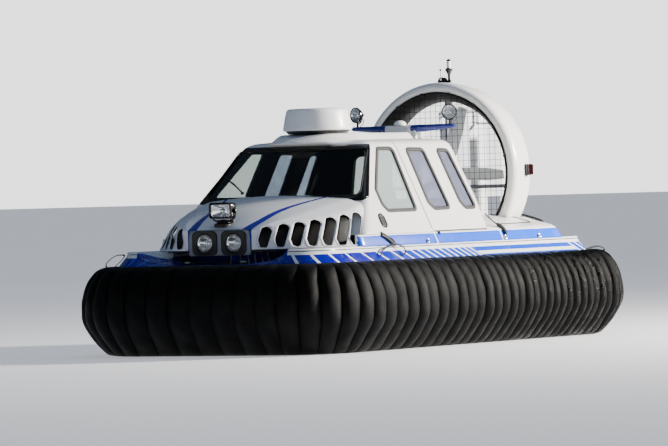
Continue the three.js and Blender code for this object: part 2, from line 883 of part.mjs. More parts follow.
// Seats, bench, dashboard and steering bar
function makeSeat(x) {
  const base = block([x - 230, x + 230], [-560, -80], [FLOOR_Z + GAP, 640]);
  const back = loft([
    [
      [x - 225, -140, 600],
      [x + 225, -140, 600],
      [x + 225, -40, 600],
      [x - 225, -40, 600],
    ],
    [
      [x - 200, -10, 1120],
      [x + 200, -10, 1120],
      [x + 200, 60, 1120],
      [x - 200, 60, 1120],
    ],
  ]);
  return join(base, back);
}

function makeBench() {
  const base = block([-560, 560], [200, 440], [FLOOR_Z + GAP, 660]);
  const back = loft([
    [
      [-560, 360, 620],
      [560, 360, 620],
      [560, 440, 620],
      [-560, 440, 620],
    ],
    [
      [-540, 430, 1080],
      [540, 430, 1080],
      [540, 490, 1080],
      [-540, 490, 1080],
    ],
  ]);
  return join(base, back);
}

function makeDash() {
  const section = [
    [-940, 905],
    [-820, 905],
    [-780, 960],
    [-800, 1090],
    [-870, 1120],
    [-960, 1100],
  ];
  const columnBore = bar([STEER_X, -790, 1005], STEER_HEAD, 17.5);
  return cut(prismX(section, -640, 640), columnBore);
}

function makeSteering() {
  const column = bar(STEER_FOOT, STEER_HEAD, 16);
  const across = bar([STEER_X - 150, -690, 1040], [STEER_X + 150, -690, 1040], 13);
  return join(column, across);
}

// Radome, light bar, lamps and aerials
function turned(profile, x, y, sides = 24) {
  const lathe = new THREE.LatheGeometry(
    profile.map(([r, z]) => new THREE.Vector2(r, z)),
    sides,
  );
  lathe.rotateX(Math.PI / 2);
  lathe.translate(x, y, 0);
  return turnedOut(lathe);
}

const RADOME_Y = -457;
const RADOME_PROFILE = [
  // radius, height
  [0, 1664],
  [228, 1664],
  [252, 1690],
  [268, 1694],
  [270, 1702],
  [262, 1750],
  [240, 1838],
  [225, 1855],
  [160, 1864],
  [0, 1866],
];
const GPS_PROFILE = [
  // radius, height
  [0, 1723.6],
  [48, 1723.6],
  [50, 1734],
  [34, 1754],
  [0, 1761],
];

// Roof fairing: a low ridge that carries the radome and runs aft to the light bar
const FAIRING = [
  // place aft, half width at the top, half width at the foot, height
  [-840, 30, 90, 1613],
  [-760, 130, 240, 1638],
  [-660, 205, 330, 1658],
  [RADOME_Y, 250, 375, 1663],
  [-290, 238, 314, 1663],
  [150, 205, 300, 1664],
  [600, 160, 240, 1664],
];

function makeFairing() {
  const rings = FAIRING.map(([y, top, foot, z]) =>
    [
      [-foot, 1560],
      [foot, 1560],
      [foot, 1606],
      [(top + foot) / 2, (1606 + z) / 2 - 6],
      [top, z],
      [-top, z],
      [-(top + foot) / 2, (1606 + z) / 2 - 6],
      [-foot, 1606],
    ].map(([x, height]) => [x, y, height]),
  );
  return cut(loft(rings), cabinBody(-GAP));
}

// Light bar: two thin wings on a centre block and two short legs, a lamp near each tip
const BAR_TOP = 1722;
const BAR_HALF = 483;
const BAR_CENTRE = 100;
const LAMP_X = 437;
const LAMP_Y = 802;
const LAMP_Z = 1815;
const LAMP_TOE_OUT = 15;

function makeLightBar() {
  const stations = [
    // half width, front, rear, underside, top
    [-BAR_HALF, 768, 812, 1691, 1713],
    [-BAR_CENTRE, 706, 806, 1665, BAR_TOP],
    [BAR_CENTRE, 706, 806, 1665, BAR_TOP],
    [BAR_HALF, 768, 812, 1691, 1713],
  ];
  const wing = loft(
    stations.map(([x, front, rear, low, high]) => [
      [x, front, low + 8],
      [x, (front + rear) / 2, low],
      [x, rear, low + 8],
      [x, rear, high - 4],
      [x, (front + rear) / 2, high],
      [x, front, high - 6],
    ]),
  );
  const centre = block([-BAR_CENTRE, BAR_CENTRE], [601, 806], [1560, BAR_TOP - 4]);
  const legs = [1, -1].map((side) => block([side * 140 - 26, side * 140 + 26], [712, 760], [1540, 1690]));
  return cut(join(wing, centre, ...legs), cabinBody(-GAP));
}

function makeBarLamp(side) {
  const turn = (side * LAMP_TOE_OUT * Math.PI) / 180;
  const ahead = ([x, y]) => [
    side * LAMP_X + x * Math.cos(turn) - y * Math.sin(turn),
    LAMP_Y + x * Math.sin(turn) + y * Math.cos(turn),
    LAMP_Z,
  ];
  const rim = bar(ahead([0, -24]), ahead([0, 2]), 63, undefined, 20);
  const can = bar(ahead([0, 0]), ahead([0, 38]), 60, 34, 20);
  const stem = bar([side * LAMP_X, LAMP_Y, BAR_TOP - 6], [side * LAMP_X, LAMP_Y, LAMP_Z - 40], 9);
  return join(rim, can, stem);
}

// Wiper on the starboard half of the windscreen: arm, blade and spindle just off the glass
const WIPER_FOOT = [-318, -1062, 1222];
const WIPER_MIDDLE = [-473, -962, 1302];
const WIPER_TIP = [-640, -848, 1362];

function makeWiper() {
  const between = (from, to, share) => from.map((v, i) => v + (to[i] - v) * share);
  const arm = bar(WIPER_FOOT, WIPER_MIDDLE, 7, 5, 8);
  const blade = bar(between(WIPER_MIDDLE, WIPER_FOOT, 0.45), WIPER_TIP, 6, 5, 8);
  const spindle = bar(WIPER_FOOT, [WIPER_FOOT[0], WIPER_FOOT[1] + 4, WIPER_FOOT[2] - 6], 14, undefined, 12);
  return join(arm, blade, spindle);
}

// Side lights on the duct's flanks, masthead and stern lights on its crown
const SIDE_LIGHT_X = [724, 771];
const SIDE_LIGHT_Y = [1455, 1515];

function makeSideLight() {
  return block(SIDE_LIGHT_X, SIDE_LIGHT_Y, [SHAFT_Z - 31, SHAFT_Z + 55]);
}

const CROWN_Z = SHAFT_Z + DUCT_OUTER - 4;
const MASTHEAD_X = 69;
const MASTHEAD_PROFILE = [
  // radius, height
  [0, CROWN_Z],
  [20, CROWN_Z],
  [16, CROWN_Z + 36],
  [8, CROWN_Z + 40],
  [8, CROWN_Z + 84],
  [30, CROWN_Z + 132],
  [31, CROWN_Z + 142],
  [19, CROWN_Z + 143],
  [18, CROWN_Z + 190],
  [0, CROWN_Z + 194],
];
const STERN_LIGHT_PROFILE = [
  // radius, height
  [0, CROWN_Z + 2],
  [38, CROWN_Z + 2],
  [24, CROWN_Z + 38],
  [14, CROWN_Z + 60],
  [0, CROWN_Z + 66],
];

node("hull_tub", "black", makeTub());
node("skirt", "skirt", makeSkirt());
node("deck_moulding", "gelcoat", makeDeck());
node("hood", "gelcoat", makeHood());
node("cabin_shell", "gelcoat", makeCabin());

node("headlight_bezels", "black", makeBezels());
node("bow_rail", "black", makeBowRail());

for (const [side, name] of [
  [1, "port"],
  [-1, "starboard"],
]) {
  const flip = (body) => (side < 0 ? mirrored(body) : body);
  node("headlight_" + name, "chrome", headlightDisc(side, -1853, -1876, HEADLIGHT_R));
  node("front_window_" + name, "glass", flip(sidePane(FRONT_WINDOW)));
  node("door_" + name, "gelcoat", flip(makeDoor()));
  node("door_window_front_" + name, "glass", flip(sidePane(DOOR_WINDOW_A)));
  node("door_window_rear_" + name, "glass", flip(sidePane(DOOR_WINDOW_B)));
  node("seat_" + name, "upholstery", makeSeat(side * 290));
  node("bar_lamp_" + name, "chrome", makeBarLamp(side));
  node("side_light_" + name, side > 0 ? "red" : "green", flip(makeSideLight()));
}
node("wiper", "black", makeWiper());
node("windscreen", "glass", endPane(WINDSCREEN, -1300, -500));
node("rear_window", "glass", endPane(REAR_WINDOW, 400, 900));
node("rear_bench", "upholstery", makeBench());
node("dashboard", "black", makeDash());
node("steering_bar", "black", makeSteering());
node("engine", "aluminium", block([-270, 270], [815, 1103], [FLOOR_Z + GAP, 880]));
node("engine_hatch", "gelcoat", block([-350, 350], [785, 1132], [DECK_CROWN + GAP, DECK_CROWN + 14]));

node("roof_fairing", "gelcoat", makeFairing());
node("radome", "gelcoat", turned(RADOME_PROFILE, 0, RADOME_Y, 32));

node("light_bar", "blue", makeLightBar());
node("gps_dome", "gelcoat", turned(GPS_PROFILE, 0, 748, 16));

node("duct", "gelcoat", makeDuct());
node("inlet_guard", "black", makeGuard());
node("propeller", "black", makePropeller());
node("pylon", "black", makePylon());
RUDDER_X.forEach((x, i) => node("rudder_" + (i + 1), "grey", makeRudder(x)));
node("rudder_frame_upper", "aluminium", makeRudderFrame(1));
node("rudder_frame_lower", "aluminium", makeRudderFrame(-1));

node("masthead_light", "black", turned(MASTHEAD_PROFILE, MASTHEAD_X, 1400, 16));
node("stern_light", "gelcoat", turned(STERN_LIGHT_PROFILE, 8, 1400, 14));
node("searchlight_base", "black", turned(SEARCHLIGHT_BASE, 0, SEARCHLIGHT_Y, 18));
node("searchlight_head", "black", makeSearchlight());

export default craft;
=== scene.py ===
"""Light cabin hovercraft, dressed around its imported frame. Metres: X to port, Y aft, Z up."""
import logging
import math
from dataclasses import dataclass, field, replace
from enum import Enum
from typing import Callable, Iterable, Sequence

import bmesh
import bpy
import numpy as np
from mathutils import Matrix, Vector


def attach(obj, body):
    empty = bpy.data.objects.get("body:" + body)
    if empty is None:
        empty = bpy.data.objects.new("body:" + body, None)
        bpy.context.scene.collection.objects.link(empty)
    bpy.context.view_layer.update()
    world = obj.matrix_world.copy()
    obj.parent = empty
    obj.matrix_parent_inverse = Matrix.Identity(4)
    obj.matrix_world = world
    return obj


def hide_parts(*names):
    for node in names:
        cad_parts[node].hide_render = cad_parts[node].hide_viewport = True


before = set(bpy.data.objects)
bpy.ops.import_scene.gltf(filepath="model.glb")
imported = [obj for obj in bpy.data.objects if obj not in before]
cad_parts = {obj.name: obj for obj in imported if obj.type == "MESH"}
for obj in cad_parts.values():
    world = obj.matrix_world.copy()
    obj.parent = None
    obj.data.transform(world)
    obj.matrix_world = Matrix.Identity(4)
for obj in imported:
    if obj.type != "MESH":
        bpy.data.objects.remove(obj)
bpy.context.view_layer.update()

CENTRE = (0.0, -0.2, 0.7)
SIDES = ((1, "port"), (-1, "starboard"))
Array = np.ndarray
log = logging.getLogger("hovercraft")


# Curves and outlines


def smoothstep(value: Array) -> Array:
    """Rises from 0 to 1 as three squares less two cubes of the value held between 0 and 1."""
    held = np.clip(value, 0.0, 1.0)
    return held * held * (3.0 - 2.0 * held)


def curve(knots: Sequence[float], values: Sequence, at: Array) -> Array:
    """A smooth curve through rows of values: cubic pieces whose slopes are the central differences.

    Args:
        knots: rising places of the rows.
        values: one row of numbers for each knot.
        at: places to read the curve at.

    Returns:
        One row for each place.
    """
    x = np.asarray(knots, float)
    y = np.asarray(values, float)
    flat = y.ndim == 1
    y = y[:, None] if flat else y
    slope = np.gradient(y, x, axis=0)
    held = np.clip(np.asarray(at, float), x[0], x[-1])
    k = np.clip(np.searchsorted(x, held, side="right") - 1, 0, len(x) - 2)
    step = (x[k + 1] - x[k])[..., None]
    t = ((held - x[k])[..., None]) / step
    a = (1 + 2 * t) * (1 - t) ** 2 * y[k] + t * (1 - t) ** 2 * step * slope[k]
    b = t * t * (3 - 2 * t) * y[k + 1] + t * t * (t - 1) * step * slope[k + 1]
    total = a + b
    return total[..., 0] if flat else total


def soften(points: Array, reach: int, closed: bool) -> Array:
    """Rounds the corners of rows of points: each point is the bell-weighted mean of its neighbours.

    Args:
        points: (rows, count, 3) or (count, 3) points.
        reach: neighbours taken on each side.
        closed: whether the row joins its own start.

    Returns:
        The rounded points, in the same form.
    """
    offsets = np.arange(-reach, reach + 1)
    weights = 1 + np.cos(np.pi * offsets / (reach + 1))
    weights /= weights.sum()
    axis = points.ndim - 2
    if closed:
        return sum(w * np.roll(points, k, axis=axis) for k, w in zip(offsets, weights))
    first = np.take(points, [0], axis=axis)
    last = np.take(points, [-1], axis=axis)
    ahead = 2 * first - np.take(points, range(reach, 0, -1), axis=axis)
    behind = 2 * last - np.take(points, range(-2, -reach - 2, -1), axis=axis)
    padded = np.concatenate([ahead, points, behind], axis=axis)
    count = points.shape[axis]
    return sum(
        w * np.take(padded, range(reach + k, reach + k + count), axis=axis) for k, w in zip(offsets, weights)
    )


def run_along(points: Array) -> Array:
    """Length from the start at each point of a path."""
    return np.concatenate([[0], np.cumsum(np.linalg.norm(np.diff(points, axis=0), axis=1))])


def circle(radius: float, sides: int) -> Array:
    """Points round a circle about zero, anticlockwise."""
    angle = np.linspace(0, 2 * np.pi, sides, endpoint=False)
    return radius * np.stack([np.cos(angle), np.sin(angle)], axis=1)


def rounded_rectangle(width: float, height: float, radius: float, steps: int = 5) -> Array:
    """An anticlockwise rectangle about zero whose corners are quarter circles."""
    angle = np.linspace(0, np.pi / 2, steps + 1)
    arc = radius * np.stack([np.cos(angle), np.sin(angle)], axis=1)
    reach = np.array([width / 2 - radius, height / 2 - radius])
    turn = np.array([[0.0, -1.0], [1.0, 0.0]])
    corners = [(1, 1), (-1, 1), (-1, -1), (1, -1)]
    rows = []
    for k, signs in enumerate(corners):
        rows.append(arc @ np.linalg.matrix_power(turn, k).T + reach * np.array(signs))
    return np.concatenate(rows)


@dataclass
class Outline:
    """A convex outline in a plane, its corners rounded."""

    corners: Sequence[tuple[float, float]]
    radius: float = 0.03

    def __post_init__(self) -> None:
        """Puts the corners anticlockwise and works out the outline moved in by the radius."""
        ring = np.array(self.corners, float)
        following = np.roll(ring, -1, axis=0)
        area = np.sum(ring[:, 0] * following[:, 1] - following[:, 0] * ring[:, 1])
        if area < 0:
            ring = ring[::-1]
            following = np.roll(ring, -1, axis=0)
        along = following - ring
        along /= np.linalg.norm(along, axis=1)[:, None]
        self.normals = np.stack([along[:, 1], -along[:, 0]], axis=1)
        self.inner = self.moved(ring, -self.radius)

    def moved(self, ring: Array, amount: float) -> Array:
        """The corners of the ring with every edge moved out by the amount."""
        level = np.sum(self.normals * ring, axis=1) + amount
        before = np.roll(self.normals, 1, axis=0)
        level_before = np.roll(level, 1)
        det = before[:, 0] * self.normals[:, 1] - before[:, 1] * self.normals[:, 0]
        x = (level_before * self.normals[:, 1] - level * before[:, 1]) / det
        y = (level * before[:, 0] - level_before * self.normals[:, 0]) / det
        return np.stack([x, y], axis=1)

    def inside(self, places: Array) -> Array:
        """How far each place lies inside the outline, below zero outside it."""
        start = self.inner
        end = np.roll(start, -1, axis=0)
        edge = end - start
        flat = places.reshape(-1, 2)
        offset = flat[:, None, :] - start[None]
        share = np.clip(np.sum(offset * edge, axis=2) / np.sum(edge * edge, axis=1), 0, 1)
        near = np.linalg.norm(offset - share[..., None] * edge, axis=2).min(axis=1)
        within = np.all(np.sum(offset * self.normals, axis=2) <= 0, axis=1)
        return (np.where(within, near, -near) + self.radius).reshape(places.shape[:-1])

    def path(self, grow: float = 0.0, spacing: float = 0.006) -> Array:
        """Points along the rounded outline, moved out by grow, close together and evenly spaced."""
        rows = []
        count = len(self.inner)
        for k in range(count):
            before, after = self.normals[k - 1], self.normals[k]
            a0 = math.atan2(before[1], before[0])
            turn = (math.atan2(after[1], after[0]) - a0) % (2 * math.pi)
            angle = a0 + np.linspace(0, turn, 8)
            arc = (self.radius + grow) * np.stack([np.cos(angle), np.sin(angle)], axis=1)
            rows.append(self.inner[k] + arc)
        ring = np.concatenate(rows + [rows[0][:1]])
        run = run_along(ring)
        at = np.linspace(0, run[-1], max(int(run[-1] / spacing), 16), endpoint=False)
        return np.stack([np.interp(at, run, ring[:, axis]) for axis in range(2)], axis=1)


# Surfaces


@dataclass
class Surface:
    """Points and faces of a shape, each block of faces with the number of its finish."""

    points: Array
    faces: list[tuple[Array, int]]
    uv: Array | None = None
    values: dict[str, Array] = field(default_factory=dict)

    def volume(self) -> float:
        """The volume that the faces close in, below zero where they point inwards."""
        total = 0.0
        for block, _ in self.faces:
            for k in range(1, block.shape[1] - 1):
                a, b, c = (self.points[block[:, i]] for i in (0, k, k + 1))
                total += float(np.sum(a * np.cross(b, c)))
        return total / 6

    def turned(self) -> "Surface":
        """The same surface with its faces the other way round."""
        return replace(self, faces=[(block[:, ::-1], finish) for block, finish in self.faces])

    def outward(self) -> "Surface":
        """The same closed surface with its faces pointing out."""
        return self.turned() if self.volume() < 0 else self

    def away_from(self, centre: Sequence[float]) -> "Surface":
        """The open surface with its faces pointing away from a centre, on the whole."""
        block = self.faces[0][0]
        a, b, c = (self.points[block[:, k]] for k in range(3))
        toward = (a + b + c) / 3 - np.asarray(centre, float)
        return self.turned() if np.sum(np.cross(b - a, c - a) * toward) < 0 else self

    def mirrored(self) -> "Surface":
        """The surface on the other side of the craft's middle."""
        flipped = replace(self, points=self.points * np.array([-1.0, 1.0, 1.0]))
        return flipped.turned()

    def moved(self, offset: Sequence[float]) -> "Surface":
        """The surface carried along by an offset."""
        return replace(self, points=self.points + np.asarray(offset, float))

    def placed(
        self, across: Sequence[float], along: Sequence[float], up: Sequence[float], origin: Sequence[float]
    ) -> "Surface":
        """The surface with its axes along three given directions, moved to the origin given."""
        basis = np.array([across, along, up], float)
        basis /= np.linalg.norm(basis, axis=1)[:, None]
        return replace(self, points=self.points @ basis + np.asarray(origin, float))

    def finished(self, finish: int) -> "Surface":
        """The surface with every face in one finish."""
        return replace(self, faces=[(block, finish) for block, _ in self.faces])


def gathered(parts: Iterable[Surface]) -> Surface:
    """Several surfaces as one, their values and UVs kept where every part has them."""
    parts = list(parts)
    shift = 0
    faces: list[tuple[Array, int]] = []
    for part in parts:
        faces += [(block + shift, finish) for block, finish in part.faces]
        shift += len(part.points)
    uv = None
    if any(part.uv is not None for part in parts):
        uv = np.concatenate([p.uv if p.uv is not None else np.zeros((len(p.points), 2)) for p in parts])
    names = {name for part in parts for name in part.values}
    values = {n: np.concatenate([p.values.get(n, np.zeros(len(p.points))) for p in parts]) for n in names}
    return Surface(np.concatenate([p.points for p in parts]), faces, uv, values)


def grid(
    points: Array, wrap_rows: bool = False, wrap_columns: bool = False, caps: bool = False, finish: int = 0
) -> Surface:
    """The quads between neighbours of a grid of points.

    Args:
        points: (rows, columns, 3) points.
        wrap_rows: the last row joins the first.
        wrap_columns: the last column joins the first.
        caps: the first and last rows are closed with one face each.
        finish: number of the finish.

    Returns:
        The surface, with a UV pair in metres along both ways.
    """
    rows, columns = points.shape[:2]
    index = np.arange(rows * columns).reshape(rows, columns)
    down = np.concatenate([index, index[:1]]) if wrap_rows else index
    full = np.concatenate([down, down[:, :1]], axis=1) if wrap_columns else down
    a, b, c, d = full[:-1, :-1], full[:-1, 1:], full[1:, 1:], full[1:, :-1]
    faces = [(np.stack([a, b, c, d], axis=-1).reshape(-1, 4), finish)]
    if caps:
        faces.append((index[0][::-1][None], finish))
        faces.append((index[-1][None], finish))
    across = np.linalg.norm(np.diff(points, axis=1, prepend=points[:, :1]), axis=2).cumsum(axis=1)
    along = np.linalg.norm(np.diff(points, axis=0, prepend=points[:1]), axis=2).cumsum(axis=0)
    uv = np.stack([across, along], axis=-1).reshape(-1, 2)
    return Surface(points.reshape(-1, 3), faces, uv)


def sweep(
    profile: Array, path: Array, normals: Array, closed: bool = False, sizes: Array | None = None
) -> Surface:
    """A profile carried along a path: each point is the path's plus across times side plus up times normal.

    Args:
        profile: (count, 2) closed profile, across and up.
        path: (steps, 3) points.
        normals: (steps, 3) or (3,) directions that the profile's up follows.
        closed: the path joins its own start.
        sizes: a size of the profile for each step.

    Returns:
        A closed surface with its faces pointing out.
    """
    path = np.asarray(path, float)
    if closed:
        tangent = np.roll(path, -1, axis=0) - np.roll(path, 1, axis=0)
    else:
        tangent = np.gradient(path, axis=0)
    tangent /= np.linalg.norm(tangent, axis=1)[:, None]
    up = np.broadcast_to(np.asarray(normals, float), path.shape)
    side = np.cross(tangent, up)
    side /= np.linalg.norm(side, axis=1)[:, None]
    up = np.cross(side, tangent)
    scale = np.ones(len(path)) if sizes is None else np.asarray(sizes, float)
    points = path[:, None] + scale[:, None, None] * (
        profile[None, :, :1] * side[:, None] + profile[None, :, 1:] * up[:, None]
    )
    return grid(points, wrap_rows=closed, wrap_columns=True, caps=not closed).outward()


def lathe(profile: Sequence[tuple[float, float]], sides: int = 32, finish: int = 0) -> Surface:
    """A profile of radius and height turned about the upright axis, closed on the axis or on itself."""
    rows = np.asarray(profile, float)
    ring = circle(1.0, sides)
    points = np.concatenate(
        [rows[:, None, :1] * ring[None], np.broadcast_to(rows[:, None, 1:], (len(rows), sides, 1))], axis=2
    )
    whole = np.allclose(rows[0], rows[-1])
    shape = grid(points[:-1] if whole else points, wrap_rows=whole, wrap_columns=True, finish=finish)
    return shape.outward()


def prism(outline: Array, low: float, high: float, finish: int = 0) -> Surface:
    """An outline carried straight up from one height to another, closed at both ends."""
    outline = np.asarray(outline, float)
    rows = [np.column_stack([outline, np.full(len(outline), z)]) for z in (low, high)]
    return grid(np.stack(rows), wrap_columns=True, caps=True, finish=finish).outward()


def ring_at(outline: Array, depth: float) -> Array:
    """A flat outline as points at one depth."""
    return np.column_stack([outline, np.full(len(outline), depth)])


def round_as(outline: Array, radius: float) -> Array:
    """Points of a circle that stand at the same angles as an outline's points."""
    angle = np.arctan2(outline[:, 1], outline[:, 0])
    return radius * np.stack([np.cos(angle), np.sin(angle)], axis=1)


def refined(outline: Array, count: int) -> Array:
    """A closed outline read again at even lengths."""
    ring = np.concatenate([outline, outline[:1]])
    run = run_along(ring)
    at = np.linspace(0, run[-1], count, endpoint=False)
    return np.stack([np.interp(at, run, ring[:, axis]) for axis in range(2)], axis=1)


def stack(rings: Sequence[Array], wrap: bool = False, finish: int = 0) -> Surface:
    """A closed solid through rings of equally many points, capped unless the last ring joins the first."""
    return grid(np.stack(rings), wrap_rows=wrap, wrap_columns=True, caps=not wrap, finish=finish).outward()


def facing_bow(shape: Surface, origin: Sequence[float] = (0, 0, 0)) -> Surface:
    """A shape drawn flat, X across and Y up, stood upright so that its depth runs forward."""
    return shape.placed((1, 0, 0), (0, 0, 1), (0, -1, 0), origin)


def facing_port(shape: Surface, origin: Sequence[float] = (0, 0, 0)) -> Surface:
    """A shape drawn flat, X aft and Y up, stood upright so that its depth runs to port."""
    return shape.placed((0, 1, 0), (0, 0, 1), (1, 0, 0), origin)


def through(points: Sequence[Sequence[float]], count: int = 24) -> Array:
    """A smooth path through a few points, evenly read."""
    rows = np.asarray(points, float)
    knots = run_along(rows)
    return curve(knots, rows, np.linspace(0, knots[-1], count))


def block(x: Sequence[float], y: Sequence[float], z: Sequence[float], finish: int = 0) -> Surface:
    """A six-sided block between three pairs of limits, for a bevel to round."""
    outline = [(x[0], y[0]), (x[1], y[0]), (x[1], y[1]), (x[0], y[1])]
    return prism(outline, z[0], z[1], finish)


def twin_blocks(place: float, half: float, y: Sequence[float], z: Sequence[float]) -> list[Surface]:
    """Two equal blocks at one distance to port and to starboard."""
    return [block((side * place - half, side * place + half), y, z) for side in (1, -1)]


def rod(
    start: Sequence[float], end: Sequence[float], radius: float, sides: int = 12, finish: int = 0
) -> Surface:
    """A round bar between two points."""
    path = np.array([start, end], float)
    way = path[1] - path[0]
    upright = abs(way[2]) >= 0.9 * np.linalg.norm(way)
    helper = np.array([1.0, 0.0, 0.0] if upright else [0.0, 0.0, 1.0])
    return sweep(circle(radius, sides), path, helper).finished(finish)


def tube(path: Array, radius: float, sides: int = 10, closed: bool = False, finish: int = 0) -> Surface:
    """A round section carried along a curved path, held by a direction that turns with the path."""
    path = np.asarray(path, float)
    middle = path.mean(axis=0)
    spread = path - middle
    normal = np.linalg.svd(spread, full_matrices=False)[2][2] if len(path) > 2 else np.array([0.0, 0.0, 1.0])
    return sweep(circle(radius, sides), path, normal, closed).finished(finish)


def trimmed(
    shape: Callable[[Array, Array], Array], u: Array, v: Array, keep: Callable[[Array], Array],
    finish: int = 0
) -> Surface:
    """The part of a surface where a distance is above zero, its edge lying exactly on the zero line.

    Points of the grid next to the zero line slide along their grid line until the distance is zero. Cells
    outside are then dropped, and a cell that the line crosses corner to corner is halved.

    Args:
        shape: gives points for arrays of both parameters.
        u: places of the rows.
        v: places of the columns.
        keep: signed distance at points, above zero where the surface stays.
        finish: number of the finish.

    Returns:
        The trimmed surface.
    """
    uu, vv = np.meshgrid(u, v, indexing="ij")
    level = keep(shape(uu, vv))
    level = np.where(np.abs(level) < 1e-7, 1e-7, level)
    flat_u, flat_v, flat_s = uu.ravel().copy(), vv.ravel().copy(), level.ravel().copy()
    index = np.arange(uu.size).reshape(uu.shape)
    pairs = np.concatenate(
        [
            np.stack([index[:-1].ravel(), index[1:].ravel()], axis=1),
            np.stack([index[:, :-1].ravel(), index[:, 1:].ravel()], axis=1),
        ]
    )
    crossing = pairs[flat_s[pairs[:, 0]] * flat_s[pairs[:, 1]] < 0]
    if len(crossing):
        a, b = crossing[:, 0], crossing[:, 1]
        low, high = np.zeros(len(a)), np.ones(len(a))
        start_sign = np.sign(flat_s[a])
        for _ in range(16):
            middle = (low + high) / 2
            s = keep(
                shape(flat_u[a] + middle * (flat_u[b] - flat_u[a]),
                    flat_v[a] + middle * (flat_v[b] - flat_v[a]))
            )
            same = np.sign(s) == start_sign
            low, high = np.where(same, middle, low), np.where(same, high, middle)
        share = (low + high) / 2
        cross_u = flat_u[a] + share * (flat_u[b] - flat_u[a])
        cross_v = flat_v[a] + share * (flat_v[b] - flat_v[a])
        nearest = np.where(share < 0.5, a, b)
        order = np.argsort(-np.minimum(share, 1 - share), kind="stable")
        flat_u[nearest[order]] = cross_u[order]
        flat_v[nearest[order]] = cross_v[order]
        flat_s[nearest] = 0.0
    sign = np.sign(flat_s)
    quads = np.stack([index[:-1, :-1], index[:-1, 1:], index[1:, 1:], index[1:, :-1]], axis=-1).reshape(-1, 4)
    marks = sign[quads]
    lowest, highest = marks.min(axis=1), marks.max(axis=1)
    whole = quads[(lowest >= 0) & (highest > 0)]
    mixed = quads[((lowest < 0) & (highest >= 0)) | ((lowest == 0) & (highest == 0))]
    first_diagonal = (sign[mixed[:, 0]] == 0) & (sign[mixed[:, 2]] == 0)
    by_first, by_second = mixed[first_diagonal], mixed[~first_diagonal]
    halves = np.concatenate(
        [by_first[:, [0, 1, 2]], by_first[:, [0, 2, 3]], by_second[:, [0, 1, 3]], by_second[:, [1, 2, 3]]]
    )
    points = shape(flat_u, flat_v)
    if len(halves):
        half_marks = sign[halves]
        centre = keep(points[halves].mean(axis=1))
        good = (half_marks.min(axis=1) >= 0) & ((half_marks.max(axis=1) > 0) | (centre > 1e-5))
        halves = halves[good]
    used = np.unique(np.concatenate([whole.ravel(), halves.ravel()]))
    renumber = np.full(len(points), -1)
    renumber[used] = np.arange(len(used))
    faces = [(renumber[whole], finish)]
    if len(halves):
        faces.append((renumber[halves], finish))
    uv = np.stack([flat_u, flat_v], axis=1)[used]
    return Surface(points[used], faces, uv).away_from(CENTRE)


@dataclass
class Skin:
    """A fine table of points that stands for a smooth surface, read between its points in proportion."""

    table: Array

    def at(self, u: Array, v: Array) -> Array:
        """Points at shares 0 to 1 along the rows and columns of the table."""
        rows, columns = self.table.shape[:2]
        r = np.clip(np.asarray(u) * (rows - 1), 0, rows - 1 - 1e-9)
        c = np.clip(np.asarray(v) * (columns - 1), 0, columns - 1 - 1e-9)
        i, j = r.astype(int), c.astype(int)
        fr, fc = (r - i)[..., None], (c - j)[..., None]
        t = self.table
        return (
            t[i, j] * (1 - fr) * (1 - fc) + t[i + 1, j] * fr * (1 - fc) + t[i, j + 1] * (1 - fr) * fc
            + t[i + 1, j + 1] * fr * fc
        )

    def offset(self, amount: float) -> "Skin":
        """The skin moved out along its own normals."""
        along = np.gradient(self.table, axis=0)
        across = np.gradient(self.table, axis=1)
        normal = np.cross(across, along)
        outward = np.sum(normal * (self.table - np.array(CENTRE)))
        normal *= np.sign(outward)
        length = np.linalg.norm(normal, axis=2)[..., None]
        return Skin(self.table + amount * normal / np.maximum(length, 1e-12))


# Pieces


